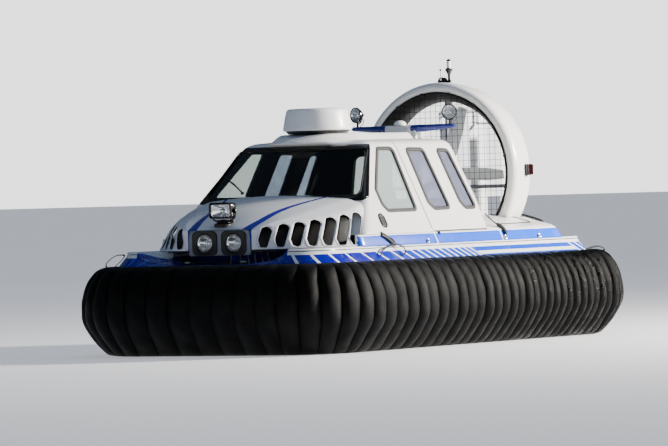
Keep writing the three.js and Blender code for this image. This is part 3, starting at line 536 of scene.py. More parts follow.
@dataclass
class Workshop:
    """Turns surfaces into the pieces of the scene."""

    count: int = 0

    def piece(
        self,
        name: str,
        shape: Surface,
        finishes: Sequence["Finish"],
        body: str = "craft",
        slot: str | None = None,
        replaces: Sequence[str] = (),
        smooth: float = 35.0,
        bevel: float = 0.0,
        bevel_steps: int = 2,
        wall: float = 0.0,
        wall_finish: int = 0,
        divide: int = 0,
        weld: bool = True,
    ) -> bpy.types.Object:
        """Makes one piece, finishes it with modifiers and ties it to its body and CAD nodes.

        Args:
            name: the piece's name.
            shape: its surface, in place.
            finishes: its finishes, in the order of the surface's finish numbers.
            body: the CAD body that it moves with.
            slot: the record's material slot, where it isn't the first finish's own; not used.
            replaces: CAD nodes that it stands for.
            smooth: edges sharper than this angle in degrees stay sharp.
            bevel: width of the rounded edges.
            bevel_steps: segments across a rounded edge.
            wall: thickness grown inwards from an open surface.
            wall_finish: how many finishes further on the inner side takes.
            divide: subdivision levels.
            weld: whether points that meet are made one.

        Returns:
            The object.
        """
        mesh = bpy.data.meshes.new(name)
        loops = np.concatenate([part.ravel() for part, _ in shape.faces]).astype(np.int32)
        sizes = np.concatenate(
            [np.full(len(part), part.shape[1]) for part, _ in shape.faces]
        ).astype(np.int32)
        finish = np.concatenate([np.full(len(part), number) for part, number in shape.faces]).astype(np.int32)
        mesh.vertices.add(len(shape.points))
        mesh.vertices.foreach_set("co", shape.points.astype(np.float32).ravel())
        mesh.loops.add(len(loops))
        mesh.loops.foreach_set("vertex_index", loops)
        mesh.polygons.add(len(sizes))
        mesh.polygons.foreach_set("loop_start", np.concatenate([[0], np.cumsum(sizes)[:-1]]).astype(np.int32))
        mesh.update(calc_edges=True)
        mesh.polygons.foreach_set("material_index", finish)
        if shape.uv is not None:
            mesh.uv_layers.new(name="UVMap").data.foreach_set(
                "uv", shape.uv[loops].astype(np.float32).ravel()
            )
        for key, numbers in shape.values.items():
            mesh.attributes.new(key, "FLOAT", "POINT").data.foreach_set("value", numbers.astype(np.float32))
        if weld:
            work = bmesh.new()
            work.from_mesh(mesh)
            bmesh.ops.remove_doubles(work, verts=work.verts, dist=2e-5)
            work.to_mesh(mesh)
            work.free()
        mesh.polygons.foreach_set("use_smooth", np.ones(len(mesh.polygons), bool))
        mesh.set_sharp_from_angle(angle=math.radians(smooth))
        for each in finishes:
            mesh.materials.append(each.material())
        piece = bpy.data.objects.new(name, mesh)
        bpy.context.scene.collection.objects.link(piece)
        if wall:
            solidify = piece.modifiers.new("wall", "SOLIDIFY")
            solidify.thickness = wall
            solidify.offset = -1.0
            solidify.use_even_offset = True
            solidify.use_quality_normals = True
            solidify.material_offset = wall_finish
            solidify.material_offset_rim = wall_finish
        if bevel:
            rounding = piece.modifiers.new("edges", "BEVEL")
            rounding.width = bevel
            rounding.segments = bevel_steps
            rounding.limit_method = "ANGLE"
            rounding.angle_limit = math.radians(smooth)
            rounding.harden_normals = True
        if divide:
            subdivision = piece.modifiers.new("smooth", "SUBSURF")
            subdivision.levels = divide
            subdivision.render_levels = divide
        slot = slot or finishes[0].slot
        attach(piece, body)
        if replaces:
            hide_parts(*replaces)
        self.count += 1
        return piece

    def coat(self, node: str, material: bpy.types.Material) -> None:
        """Gives a CAD node its finish."""
        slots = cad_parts[node].data.materials
        slots.clear()
        slots.append(material)


# Finishes


class Wiring:
    """Adds nodes to one tree and joins them."""

    def __init__(self, tree: bpy.types.NodeTree) -> None:
        """Takes the tree to work on."""
        self.tree = tree

    def add(self, kind: str, inputs: dict | None = None, **settings: object) -> bpy.types.Node:
        """Adds a node, sets it up and feeds its inputs from sockets or plain values.

        Args:
            kind: the node's type, without the ShaderNode in front.
            inputs: socket name or number and what it gets.
            settings: the node's own settings.

        Returns:
            The node.
        """
        node = self.tree.nodes.new("ShaderNode" + kind)
        for key, value in settings.items():
            setattr(node, key, value)
        for key, value in (inputs or {}).items():
            if isinstance(value, bpy.types.NodeSocket):
                self.tree.links.new(value, node.inputs[key])
            else:
                node.inputs[key].default_value = value
        return node

    def maths(self, operation: str, *terms: object, clamp: bool = False) -> bpy.types.NodeSocket:
        """The result of one Math node on sockets or numbers."""
        node = self.add("Math", dict(enumerate(terms)), operation=operation, use_clamp=clamp)
        return node.outputs[0]

    def mixed(self, share: object, first: object, second: object) -> bpy.types.NodeSocket:
        """A colour between two, by a share."""
        node = self.add("Mix", None, data_type="RGBA")
        for key, value in ((0, share), (6, first), (7, second)):
            if isinstance(value, bpy.types.NodeSocket):
                self.tree.links.new(value, node.inputs[key])
            else:
                node.inputs[key].default_value = value
        return node.outputs[2]

    def ramp(
        self, value: object, low: float, high: float, out_low: float = 0.0, out_high: float = 1.0
    ) -> bpy.types.NodeSocket:
        """A value carried from one range to another and held there."""
        node = self.add(
            "MapRange", {0: value, 1: low, 2: high, 3: out_low, 4: out_high}, interpolation_type="SMOOTHSTEP"
        )
        return node.outputs[0]


def colour(red: float, green: float, blue: float) -> tuple[float, float, float, float]:
    """A linear colour from the screen's values, each raised to the power 2.2."""
    return (red**2.2, green**2.2, blue**2.2, 1.0)


class Effect(Enum):
    """Shared node groups, by the effect that each gives."""

    MOTTLE = "mottle"
    GRAIN = "grain"
    GRIME = "grime"
    WEAVE = "weave"


def effect_group(effect: Effect) -> bpy.types.NodeTree:
    """The node group of an effect, built at its first use.

    Mottle gives a slow value and a fast one. Grain gives a height of fine pits. Grime gives a mask that
    thickens towards the ground. Weave gives the height of crossed threads.

    Args:
        effect: which effect.

    Returns:
        The group's tree.
    """
    if effect.value in bpy.data.node_groups:
        return bpy.data.node_groups[effect.value]
    tree = bpy.data.node_groups.new(effect.value, "ShaderNodeTree")
    wiring = Wiring(tree)
    tree.interface.new_socket("Scale", in_out="INPUT", socket_type="NodeSocketFloat")
    entry = tree.nodes.new("NodeGroupInput")
    leave = tree.nodes.new("NodeGroupOutput")
    place = wiring.add("TexCoord").outputs["Object"]
    scale = entry.outputs["Scale"]
    outputs: dict[str, bpy.types.NodeSocket] = {}
    if effect is Effect.MOTTLE:
        slow = wiring.add("TexNoise", {"Vector": place, "Scale": scale, "Detail": 3.0, "Roughness": 0.55})
        faster = wiring.maths("MULTIPLY", scale, 7.3)
        quick = wiring.add("TexNoise", {"Vector": place, "Scale": faster, "Detail": 4.0, "Roughness": 0.6})
        outputs["Slow"] = wiring.ramp(slow.outputs[0], 0.3, 0.7)
        outputs["Fast"] = wiring.ramp(quick.outputs[0], 0.3, 0.7)
    elif effect is Effect.GRAIN:
        pits = wiring.add("TexVoronoi", {"Vector": place, "Scale": scale})
        fine = wiring.add("TexNoise", {"Vector": place, "Scale": scale, "Detail": 3.0})
        outputs["Height"] = wiring.maths("ADD", pits.outputs["Distance"], fine.outputs[0])
    elif effect is Effect.GRIME:
        split = wiring.add("SeparateXYZ", {"Vector": place})
        low = wiring.ramp(split.outputs["Z"], 1.0, 0.1)
        spots = wiring.add("TexNoise", {"Vector": place, "Scale": scale, "Detail": 6.0, "Roughness": 0.65})
        patch = wiring.ramp(spots.outputs[0], 0.5, 0.72)
        outputs["Mask"] = wiring.maths("MULTIPLY", wiring.maths("ADD", low, 0.25), patch, clamp=True)
    else:
        split = wiring.add("SeparateXYZ", {"Vector": place})
        rows = []
        for axis in ("X", "Y", "Z"):
            run = wiring.maths("MULTIPLY", split.outputs[axis], scale)
            rows.append(wiring.maths("SINE", run))
        pair = wiring.maths("MULTIPLY", rows[0], rows[1])
        outputs["Height"] = wiring.maths("ADD", pair, wiring.maths("MULTIPLY", rows[2], rows[1]))
    for name, socket in outputs.items():
        tree.interface.new_socket(name, in_out="OUTPUT", socket_type="NodeSocketFloat")
        tree.links.new(socket, leave.inputs[name])
    return tree


def effect(wiring: Wiring, which: Effect, scale: float) -> bpy.types.Node:
    """Places a shared group in a material with its own scale."""
    node = wiring.add("Group", None, node_tree=effect_group(which))
    node.inputs["Scale"].default_value = scale
    return node


class Pattern(Enum):
    """What is painted over a finish's own colour."""

    NONE = "none"
    BANDS = "bands"
    HOOD = "hood"
    # Fabric: wet gloss towards the stern, and painted shade that darkens the colour to near black towards the
    # bow.
    FABRIC = "fabric"


@dataclass(frozen=True)
class Finish:
    """One finish: the record's slot for it, its two colours, gloss, grain and what lies on it."""

    name: str
    slot: str
    light: tuple[float, float, float]
    dark: tuple[float, float, float]
    roughness: float = 0.4
    gloss_spread: float = 0.1
    metallic: float = 0.0
    coat: float = 0.0
    mottle: float = 3.0
    grain: float = 0.0
    grain_scale: float = 600.0
    weave: float = 0.0
    weave_scale: float = 2600.0
    grime: float = 0.0
    grime_colour: tuple[float, float, float] = (0.42, 0.40, 0.37)
    transmission: float = 0.0
    emission: float = 0.0
    ior: float = 1.5
    sheen: float = 0.0
    pattern: Pattern = Pattern.NONE

    def material(self) -> bpy.types.Material:
        """The finish's material, built at its first use."""
        if self.name in bpy.data.materials:
            return bpy.data.materials[self.name]
        material = bpy.data.materials.new(self.name)
        material.use_nodes = True
        tree = material.node_tree
        wiring = Wiring(tree)
        shader = tree.nodes["Principled BSDF"]
        mottle = effect(wiring, Effect.MOTTLE, self.mottle)
        share = wiring.maths(
            "MULTIPLY_ADD", mottle.outputs["Fast"], 0.35,
            wiring.maths("MULTIPLY", mottle.outputs["Slow"], 0.65)
        )
        base = wiring.mixed(share, colour(*self.light), colour(*self.dark))
        rough = wiring.maths(
            "MULTIPLY_ADD", mottle.outputs["Slow"], self.gloss_spread, self.roughness - self.gloss_spread / 2
        )
        if self.pattern is Pattern.BANDS:
            base = self.bands(wiring, base)
        elif self.pattern is Pattern.HOOD:
            base = self.hood(wiring, base)
        if self.grime:
            grime = effect(wiring, Effect.GRIME, 9.0)
            mask = wiring.maths("MULTIPLY", grime.outputs["Mask"], self.grime)
            base = wiring.mixed(mask, base, colour(*self.grime_colour))
            rough = wiring.maths("MULTIPLY_ADD", mask, 0.4, rough, clamp=True)
        if self.pattern is Pattern.FABRIC:
            rough = self.wet(wiring, rough)
            split = wiring.add("SeparateXYZ", {"Vector": wiring.add("TexCoord").outputs["Object"]})
            # Painted shade: towards the bow the skirt's colour falls to near black, standing in for the shade
            # that the bow's fingers lie in.
            clear_of_bow_shade = wiring.ramp(split.outputs["Y"], -1.3, 0.5)
            base = wiring.mixed(clear_of_bow_shade, (0.0006, 0.0006, 0.0007, 1.0), base)
        tree.links.new(base, shader.inputs["Base Color"])
        tree.links.new(rough, shader.inputs["Roughness"])
        shader.inputs["Metallic"].default_value = self.metallic
        shader.inputs["Coat Weight"].default_value = self.coat
        shader.inputs["Coat Roughness"].default_value = 0.06
        shader.inputs["Transmission Weight"].default_value = self.transmission
        shader.inputs["IOR"].default_value = self.ior
        shader.inputs["Sheen Weight"].default_value = self.sheen
        if self.emission:
            tree.links.new(base, shader.inputs["Emission Color"])
            shader.inputs["Emission Strength"].default_value = self.emission
        if self.grain or self.weave:
            if self.weave:
                height = effect(wiring, Effect.WEAVE, self.weave_scale).outputs["Height"]
                distance = self.weave
            else:
                height = effect(wiring, Effect.GRAIN, self.grain_scale).outputs["Height"]
                distance = self.grain
            bump = wiring.add("Bump", {"Height": height, "Strength": 0.6, "Distance": distance})
            tree.links.new(bump.outputs[0], shader.inputs["Normal"])
        return material

    def bands(self, wiring: Wiring, base: bpy.types.NodeSocket) -> bpy.types.NodeSocket:
        """Blue band with slanted white slashes and long lines, from the values that the piece carries.

        Rise runs from 0 to 1 over the blue's height. A slash shows where its gap is below half its width.
        Along is the length round the hull, and between two lengths a white line splits the blue.
        """
        names = ("gap", "half", "pale", "rise", "along", "tone", "black")
        read = {name: wiring.add("Attribute", None, attribute_name=name).outputs["Fac"] for name in names}
        clear = wiring.maths("GREATER_THAN", read["gap"], read["half"])
        foot, split_rise, split_along = -0.36, (0.285, 0.205), (3.945, 0.735)
        low = wiring.maths("GREATER_THAN", read["rise"], foot)
        high = wiring.maths("LESS_THAN", read["rise"], 1.0)
        middle = wiring.maths("COMPARE", read["rise"], *split_rise)
        stretch = wiring.maths("COMPARE", read["along"], *split_along)
        unsplit = wiring.maths("SUBTRACT", 1.0, wiring.maths("MULTIPLY", middle, stretch))
        # Painted shade: where pale is set, at the starboard bow, the white slashes are light blue, as white
        # looks in shade.
        slash = wiring.mixed(read["pale"], base, colour(0.22, 0.40, 0.80))
        # Painted shade: the shade tone runs the blue from navy, for the shade at the bow, to bright blue aft.
        blue = wiring.mixed(read["tone"], colour(0.0, 0.0, 0.56), colour(0.0, 0.36, 0.90))
        marked = wiring.mixed(wiring.maths("MULTIPLY", clear, unsplit), slash, blue)
        result = wiring.mixed(wiring.maths("MULTIPLY", low, high), base, marked)
        # Black marks the dark joint between the mouldings and, as painted shade, the step under the nose.
        return wiring.mixed(
            wiring.maths("GREATER_THAN", read["black"], 0.5), result, colour(0.035, 0.035, 0.04)
        )

    def hood(self, wiring: Wiring, base: bpy.types.NodeSocket) -> bpy.types.NodeSocket:
        """Blue line along the crease, from the distance to it that the piece carries."""
        stripe = wiring.add("Attribute", None, attribute_name="stripe").outputs["Fac"]
        painted = wiring.maths("GREATER_THAN", stripe, 0.0)
        return wiring.mixed(painted, base, colour(0.02, 0.08, 0.58))

    def wet(self, wiring: Wiring, rough: bpy.types.NodeSocket) -> bpy.types.NodeSocket:
        """Wet patches, glossier towards the stern."""
        place = wiring.add("TexCoord").outputs["Object"]
        split = wiring.add("SeparateXYZ", {"Vector": place})
        aft = wiring.ramp(split.outputs["Y"], -1.0, 1.6)
        spots = wiring.add("TexNoise", {"Vector": place, "Scale": 14.0, "Detail": 5.0})
        patch = wiring.ramp(spots.outputs[0], 0.46, 0.6)
        shine = wiring.maths("MULTIPLY", aft, patch)
        return wiring.maths("MULTIPLY_ADD", shine, -0.26, rough, clamp=True)


GELCOAT = Finish(
    "gelcoat", "gelcoat", (0.93, 0.93, 0.93), (0.88, 0.885, 0.89), 0.28, 0.12, coat=0.35, mottle=1.6,
    grime=0.35, grime_colour=(0.62, 0.60, 0.56)
)
HOOD_GELCOAT = replace(GELCOAT, name="hood gelcoat", pattern=Pattern.HOOD)
BAND_GELCOAT = replace(GELCOAT, name="band gelcoat", pattern=Pattern.BANDS)
HULL_BLACK = Finish(
    "hull black", "hull_black", (0.03, 0.03, 0.032), (0.018, 0.018, 0.02), 0.6, 0.15, grain=0.0006,
    grain_scale=500, grime=0.6
)
SKIRT_FABRIC = Finish(
    "skirt fabric", "skirt_fabric", (0.012, 0.0115, 0.011), (0.006, 0.006, 0.006), 0.50, 0.16, mottle=5.0,
    weave=0.0004, weave_scale=1900, grime=0.3, grime_colour=(0.09, 0.082, 0.074), ior=1.2,
    pattern=Pattern.FABRIC
)
BLACK_PLASTIC = Finish(
    "black plastic", "black_plastic", (0.022, 0.022, 0.024), (0.013, 0.013, 0.015), 0.42, 0.12, grain=0.0003,
    grain_scale=900
)
BLACK_GLOSS = Finish(
    "black gloss", "black_plastic", (0.015, 0.015, 0.017), (0.009, 0.009, 0.011), 0.18, 0.08, coat=0.3
)
RUBBER = Finish(
    "seal rubber", "black_plastic", (0.022, 0.022, 0.024), (0.013, 0.013, 0.015), 0.6, 0.1, grain=0.0002,
    grain_scale=1200
)
GLAZING = Finish(
    "glazing", "glazing", (0.20, 0.27, 0.25), (0.17, 0.24, 0.22), 0.03, 0.02, transmission=0.62, ior=1.45,
    mottle=1.2
)
WINDSCREEN_GLASS = Finish(
    "windscreen glass", "glazing", (0.78, 0.84, 0.81), (0.74, 0.81, 0.78), 0.02, 0.01, transmission=1.0,
    ior=1.4, mottle=1.2
)
DOOR_GLASS = Finish(
    "door glass", "glazing", (0.70, 0.72, 0.82), (0.67, 0.69, 0.79), 0.03, 0.02, transmission=0.72, ior=1.45,
    mottle=1.2
)
CHROME = Finish(
    "chrome", "lamp_chrome", (0.90, 0.91, 0.92), (0.84, 0.85, 0.87), 0.09, 0.05, metallic=1.0, mottle=6.0
)
REFLECTOR = Finish(
    "reflector", "lamp_chrome", (0.98, 0.98, 0.97), (0.80, 0.81, 0.82), 0.10, 0.08, metallic=0.85, mottle=9.0
)
LENS = Finish(
    "clear lens", "glazing", (0.97, 0.98, 0.99), (0.94, 0.95, 0.97), 0.03, 0.02, transmission=1.0, ior=1.3,
    mottle=6.0
)
DOME_WHITE = Finish(
    "dome white", "radome_white", (0.95, 0.95, 0.945), (0.91, 0.91, 0.91), 0.36, 0.08, coat=0.1, mottle=2.0,
    grain=0.0001, grain_scale=1500
)
BAR_BLUE = Finish("bar blue", "bar_blue", (0.09, 0.16, 0.52), (0.06, 0.11, 0.42), 0.3, 0.1, coat=0.4)
WIRE_STEEL = Finish(
    "wire steel", "wire_steel", (0.05, 0.05, 0.055), (0.03, 0.03, 0.035), 0.45, 0.15, metallic=0.5,
    mottle=20.0
)
COMPOSITE = Finish(
    "propeller composite", "propeller_composite", (0.82, 0.83, 0.84), (0.74, 0.75, 0.76), 0.35, 0.12,
    grain=0.0002, grain_scale=700
)
RUDDER_GREY = Finish(
    "rudder grey", "rudder_grey", (0.84, 0.85, 0.86), (0.78, 0.79, 0.80), 0.42, 0.12, grime=0.2
)
PYLON_GREY = Finish(
    "pylon grey", "rudder_grey", (0.46, 0.47, 0.49), (0.36, 0.37, 0.39), 0.42, 0.12, grime=0.2
)
ALUMINIUM = Finish(
    "aluminium", "frame_aluminium", (0.78, 0.79, 0.80), (0.66, 0.67, 0.68), 0.34, 0.16, metallic=0.95,
    mottle=14.0
)
# Painted shade: the duct's white inside is coloured dark for the shade within it; the grime on it is dirt.
DUCT_INSIDE_SHADE = Finish(
    "duct inside shade", "gelcoat", (0.12, 0.11, 0.10), (0.07, 0.065, 0.06), 0.5, 0.15, mottle=5.0, grime=0.7,
    grime_colour=(0.33, 0.30, 0.27)
)
LENS_RED = Finish(
    "lens red", "lens_red", (0.16, 0.008, 0.015), (0.10, 0.004, 0.01), 0.12, 0.04, transmission=0.3, ior=1.45
)
LENS_GREEN = Finish(
    "lens green", "lens_green", (0.05, 0.55, 0.25), (0.04, 0.45, 0.2), 0.12, 0.04, transmission=0.35, ior=1.45
)
UPHOLSTERY = Finish(
    "upholstery", "upholstery", (0.03, 0.031, 0.036), (0.018, 0.019, 0.023), 0.75, 0.12, weave=0.0005,
    weave_scale=2400, sheen=0.3
)
PIPING = Finish(
    "piping", "upholstery", (0.12, 0.125, 0.14), (0.09, 0.095, 0.11), 0.6, 0.1, weave=0.0002, weave_scale=3600
)
TRIM_DARK = Finish(
    "cabin lining", "black_plastic", (0.012, 0.012, 0.014), (0.008, 0.008, 0.009), 0.8, 0.1, grain=0.0004,
    grain_scale=700
)
ENGINE_METAL = Finish(
    "engine metal", "engine_metal", (0.55, 0.56, 0.57), (0.42, 0.43, 0.44), 0.45, 0.2, metallic=0.8,
    grain=0.0004, grain_scale=300
)
# Painted shade: the nose panel is white gelcoat coloured grey-blue for the shade it lies in.
NOSE_SHADE_GREY = Finish("nose shade grey", "gelcoat", (0.46, 0.48, 0.52), (0.42, 0.44, 0.48), 0.32, 0.1, coat=0.3)
SEAM = Finish("seam grey", "gelcoat", (0.76, 0.765, 0.77), (0.72, 0.725, 0.73), 0.4, 0.1)
BAR_WHITE = Finish(
    "bar white", "gelcoat", (0.93, 0.93, 0.93), (0.88, 0.885, 0.89), 0.3, 0.1, coat=0.4, mottle=1.6
)
WEBBING = Finish(
    "webbing", "black_plastic", (0.035, 0.035, 0.037), (0.02, 0.02, 0.022), 0.7, 0.1, weave=0.0004,
    weave_scale=3200
)
FLOOR = Finish(
    "studio floor", "", (0.86, 0.86, 0.86), (0.84, 0.84, 0.845), 0.7, 0.05, mottle=0.4, emission=0.62
)


# Hull


@dataclass
class Plan:
    """The hull's outline from above: a rounded rectangle, read from the bow's middle round to port."""

    half_beam: float = 1.0
    half_length: float = 2.05
    bow_corner: float = 0.39
    stern_corner: float = 0.17

    def at(self, inset: Array, place: Array) -> Array:
        """Points of the outline moved in by the inset.

        Places 0 to 5 run over the bow, its corner, the side, the stern corner and the stern, and 5 to 10 the
        same way back on the other side. A corner is a quarter circle whose radius shrinks with the inset.

        Args:
            inset: how far in from the hull's edge.
            place: where along the outline.

        Returns:
            X and Y in the last axis.
        """
        inset, place = np.broadcast_arrays(np.asarray(inset, float), np.asarray(place, float))
        other = place > 5
        p = np.where(other, 10 - place, place)
        k = np.clip(np.floor(p), 0, 4)
        t = p - k
        beam, ends = self.half_beam - inset, self.half_length - inset
        bow = np.maximum(self.bow_corner - inset, 0.06)
        stern = np.maximum(self.stern_corner - inset, 0.04)
        angle = t * np.pi / 2
        x = np.select(
            [k == 0, k == 1, k == 2, k == 3],
            [t * (beam - bow), beam - bow + bow * np.sin(angle), beam, beam - stern + stern * np.cos(angle)],
            (beam - stern) * (1 - t),
        )
        side = -ends + bow + t * (2 * ends - bow - stern)
        y = np.select(
            [k == 0, k == 1, k == 2, k == 3],
            [-ends, -ends + bow - bow * np.cos(angle), side, ends - stern + stern * np.sin(angle)],
            ends,
        )
        return np.stack([np.where(other, -x, x), y], axis=-1)

    def runs(self, inset: float) -> Array:
        """Lengths from the bow's middle to the places 0 to 5."""
        beam, ends = self.half_beam - inset, self.half_length - inset
        bow, stern = self.bow_corner - inset, self.stern_corner - inset
        steps = [beam - bow, bow * np.pi / 2, 2 * ends - bow - stern, stern * np.pi / 2, beam - stern]
        return np.concatenate([[0], np.cumsum(steps)])

    def place_of(self, run: Array, inset: float) -> Array:
        """The place that lies a run along the outline from the bow's middle."""
        return np.interp(run, self.runs(inset), np.arange(6.0))


PLAN = Plan()


@dataclass
class Skirt:
    """Inflated finger skirt: lobes side by side, each with one standing edge that overlaps its neighbour."""

    bulge: float = 0.285
    fold: float = 0.040
    lip: float = 0.010
    pitch_bow: float = 0.205
    pitch_aft: float = 0.104
    peak: float = 0.45
    section: tuple = (
        # outward, height, share of the fold's depth
        (0.001, 0.646, 0.0),
        (0.060, 0.684, 0.3),
        (0.165, 0.656, 0.7),
        (0.240, 0.560, 1.0),
        (0.285, 0.420, 1.0),
        (0.280, 0.262, 1.0),
        (0.202, 0.128, 0.9),
        (0.110, 0.024, 0.6),
        (0.050, 0.002, 0.5),
        (0.004, 0.002, 0.4),
        (-0.110, 0.092, 0.5),
        (-0.330, 0.252, 0.0),
        (-0.286, 0.298, 0.0),
        (-0.018, 0.613, 0.0),
    )

    def folds(self) -> Array:
        """Runs along half the outline where the fingers meet, closer together towards the stern."""
        total = PLAN.runs(-self.bulge)[-1]
        marks = [0.0]
        while marks[-1] < total:
            share = min(marks[-1] / (0.62 * total), 1.0)
            marks.append(marks[-1] + self.pitch_bow + (self.pitch_aft - self.pitch_bow) * share)
        return np.array(marks) * total / marks[-1]

    def surface(self) -> Surface:
        """The whole skirt as one closed ring.

        A point's outward reach is the section's, less the fold's depth times one less the lobe. The lobe is
        one less a power of the distance from its peak, with a small standing lip where it starts. Short
        wrinkles run across near the upper edge, and each finger leans and swells a little differently.
        """
        marks = self.folds()
        count = len(marks) - 1
        share = np.array([0.0, 0.02, 0.07, 0.15, 0.25, 0.36, 0.47, 0.58, 0.68, 0.77, 0.85, 0.92, 0.965, 0.99])
        finger = np.repeat(np.arange(count), len(share))
        t = np.tile(share, count)
        run = marks[finger] + (marks[finger + 1] - marks[finger]) * t
        side = np.where(t < self.peak, (self.peak - t) / self.peak, (t - self.peak) / (1 - self.peak))
        lobe = 1 - side**2.3
        lobe = np.where(
            t < self.peak, np.maximum(lobe, self.lip / self.fold + lobe * (1 - self.lip / self.fold)), lobe
        )
        chance = np.random.default_rng(11)
        swell = chance.uniform(-1, 1, (count, 4))
        half_place = PLAN.place_of(run, -self.bulge)
        place = np.concatenate([half_place, 10 - half_place[::-1]])
        lobe = np.concatenate([lobe, lobe[::-1]])
        t = np.concatenate([t, t[::-1]])
        finger = np.concatenate([finger, 2 * count - 1 - finger[::-1]])
        swell = np.concatenate([swell, chance.uniform(-1, 1, (count, 4))])
        knots = np.arange(len(self.section) + 1)
        rows = np.concatenate([np.linspace(0, 9, 46), np.linspace(9, 14, 12)[1:-1]])
        outer = curve(knots[:11], self.section[:10] + (self.section[10],), rows[rows <= 9])
        ring = np.array(self.section + (self.section[0],))
        inner = np.stack([np.interp(rows[rows > 9], knots, ring[:, k]) for k in range(3)], axis=1)
        out, z, fold = np.concatenate([outer, inner]).T
        z = np.maximum(z, 0.0005)
        depth = self.fold * fold[None] * (1 - lobe[:, None])
        upper = np.exp(-((rows[None] - 1.6) / 1.3) ** 2) * (rows[None] < 8)
        middle = np.sin(np.clip(rows[None] / 9, 0, 1) * np.pi)
        f = finger[:, None]
        wrinkle = np.sin(
            9.5 * rows[None] + 5 * swell[f, 0] + 2.5 * t[:, None]
        ) * 0.0035 * upper * (1 - lobe[:, None] * 0.6)
        wrinkle = wrinkle + np.sin(4.2 * rows[None] + 9 * swell[f, 1] + 4 * t[:, None]) * 0.0022 * middle
        puff = 0.007 * swell[f, 2] * middle * lobe[:, None]
        reach = out[None] - depth + (wrinkle + puff) * (out[None] > 0.02)
        reach = np.minimum(reach, self.bulge + 0.006)
        lean = 0.012 * swell[f, 3] * np.sin(np.clip(rows[None] / 9, 0, 1) * np.pi) * 0.4
        xy = PLAN.at(-reach, np.clip(place[:, None] + lean * 0.25, 0, 10))
        points = np.concatenate([xy, np.broadcast_to(z, xy.shape[:2])[..., None]], axis=2)
        return grid(points, wrap_rows=True, wrap_columns=True).outward()

    def build(self, shop: Workshop) -> None:
        """Makes the skirt."""
        shop.piece("skirt_fingers", self.surface(), [SKIRT_FABRIC], replaces=["skirt"], smooth=50)


CROWN_SECTION = (
    # place across, height
    (0, 0.990),
    (0.35, 0.990),
    (0.50, 0.986),
    (0.62, 0.966),
    (0.80, 0.915),
    (0.895, 0.886),
    (0.9075, 0.8785),
)


def crown_height(x: Array) -> Array:
    """Height of the after deck at a place across, the same on both sides."""
    knots, heights = np.array(CROWN_SECTION).T
    return curve(knots, heights, np.abs(x))


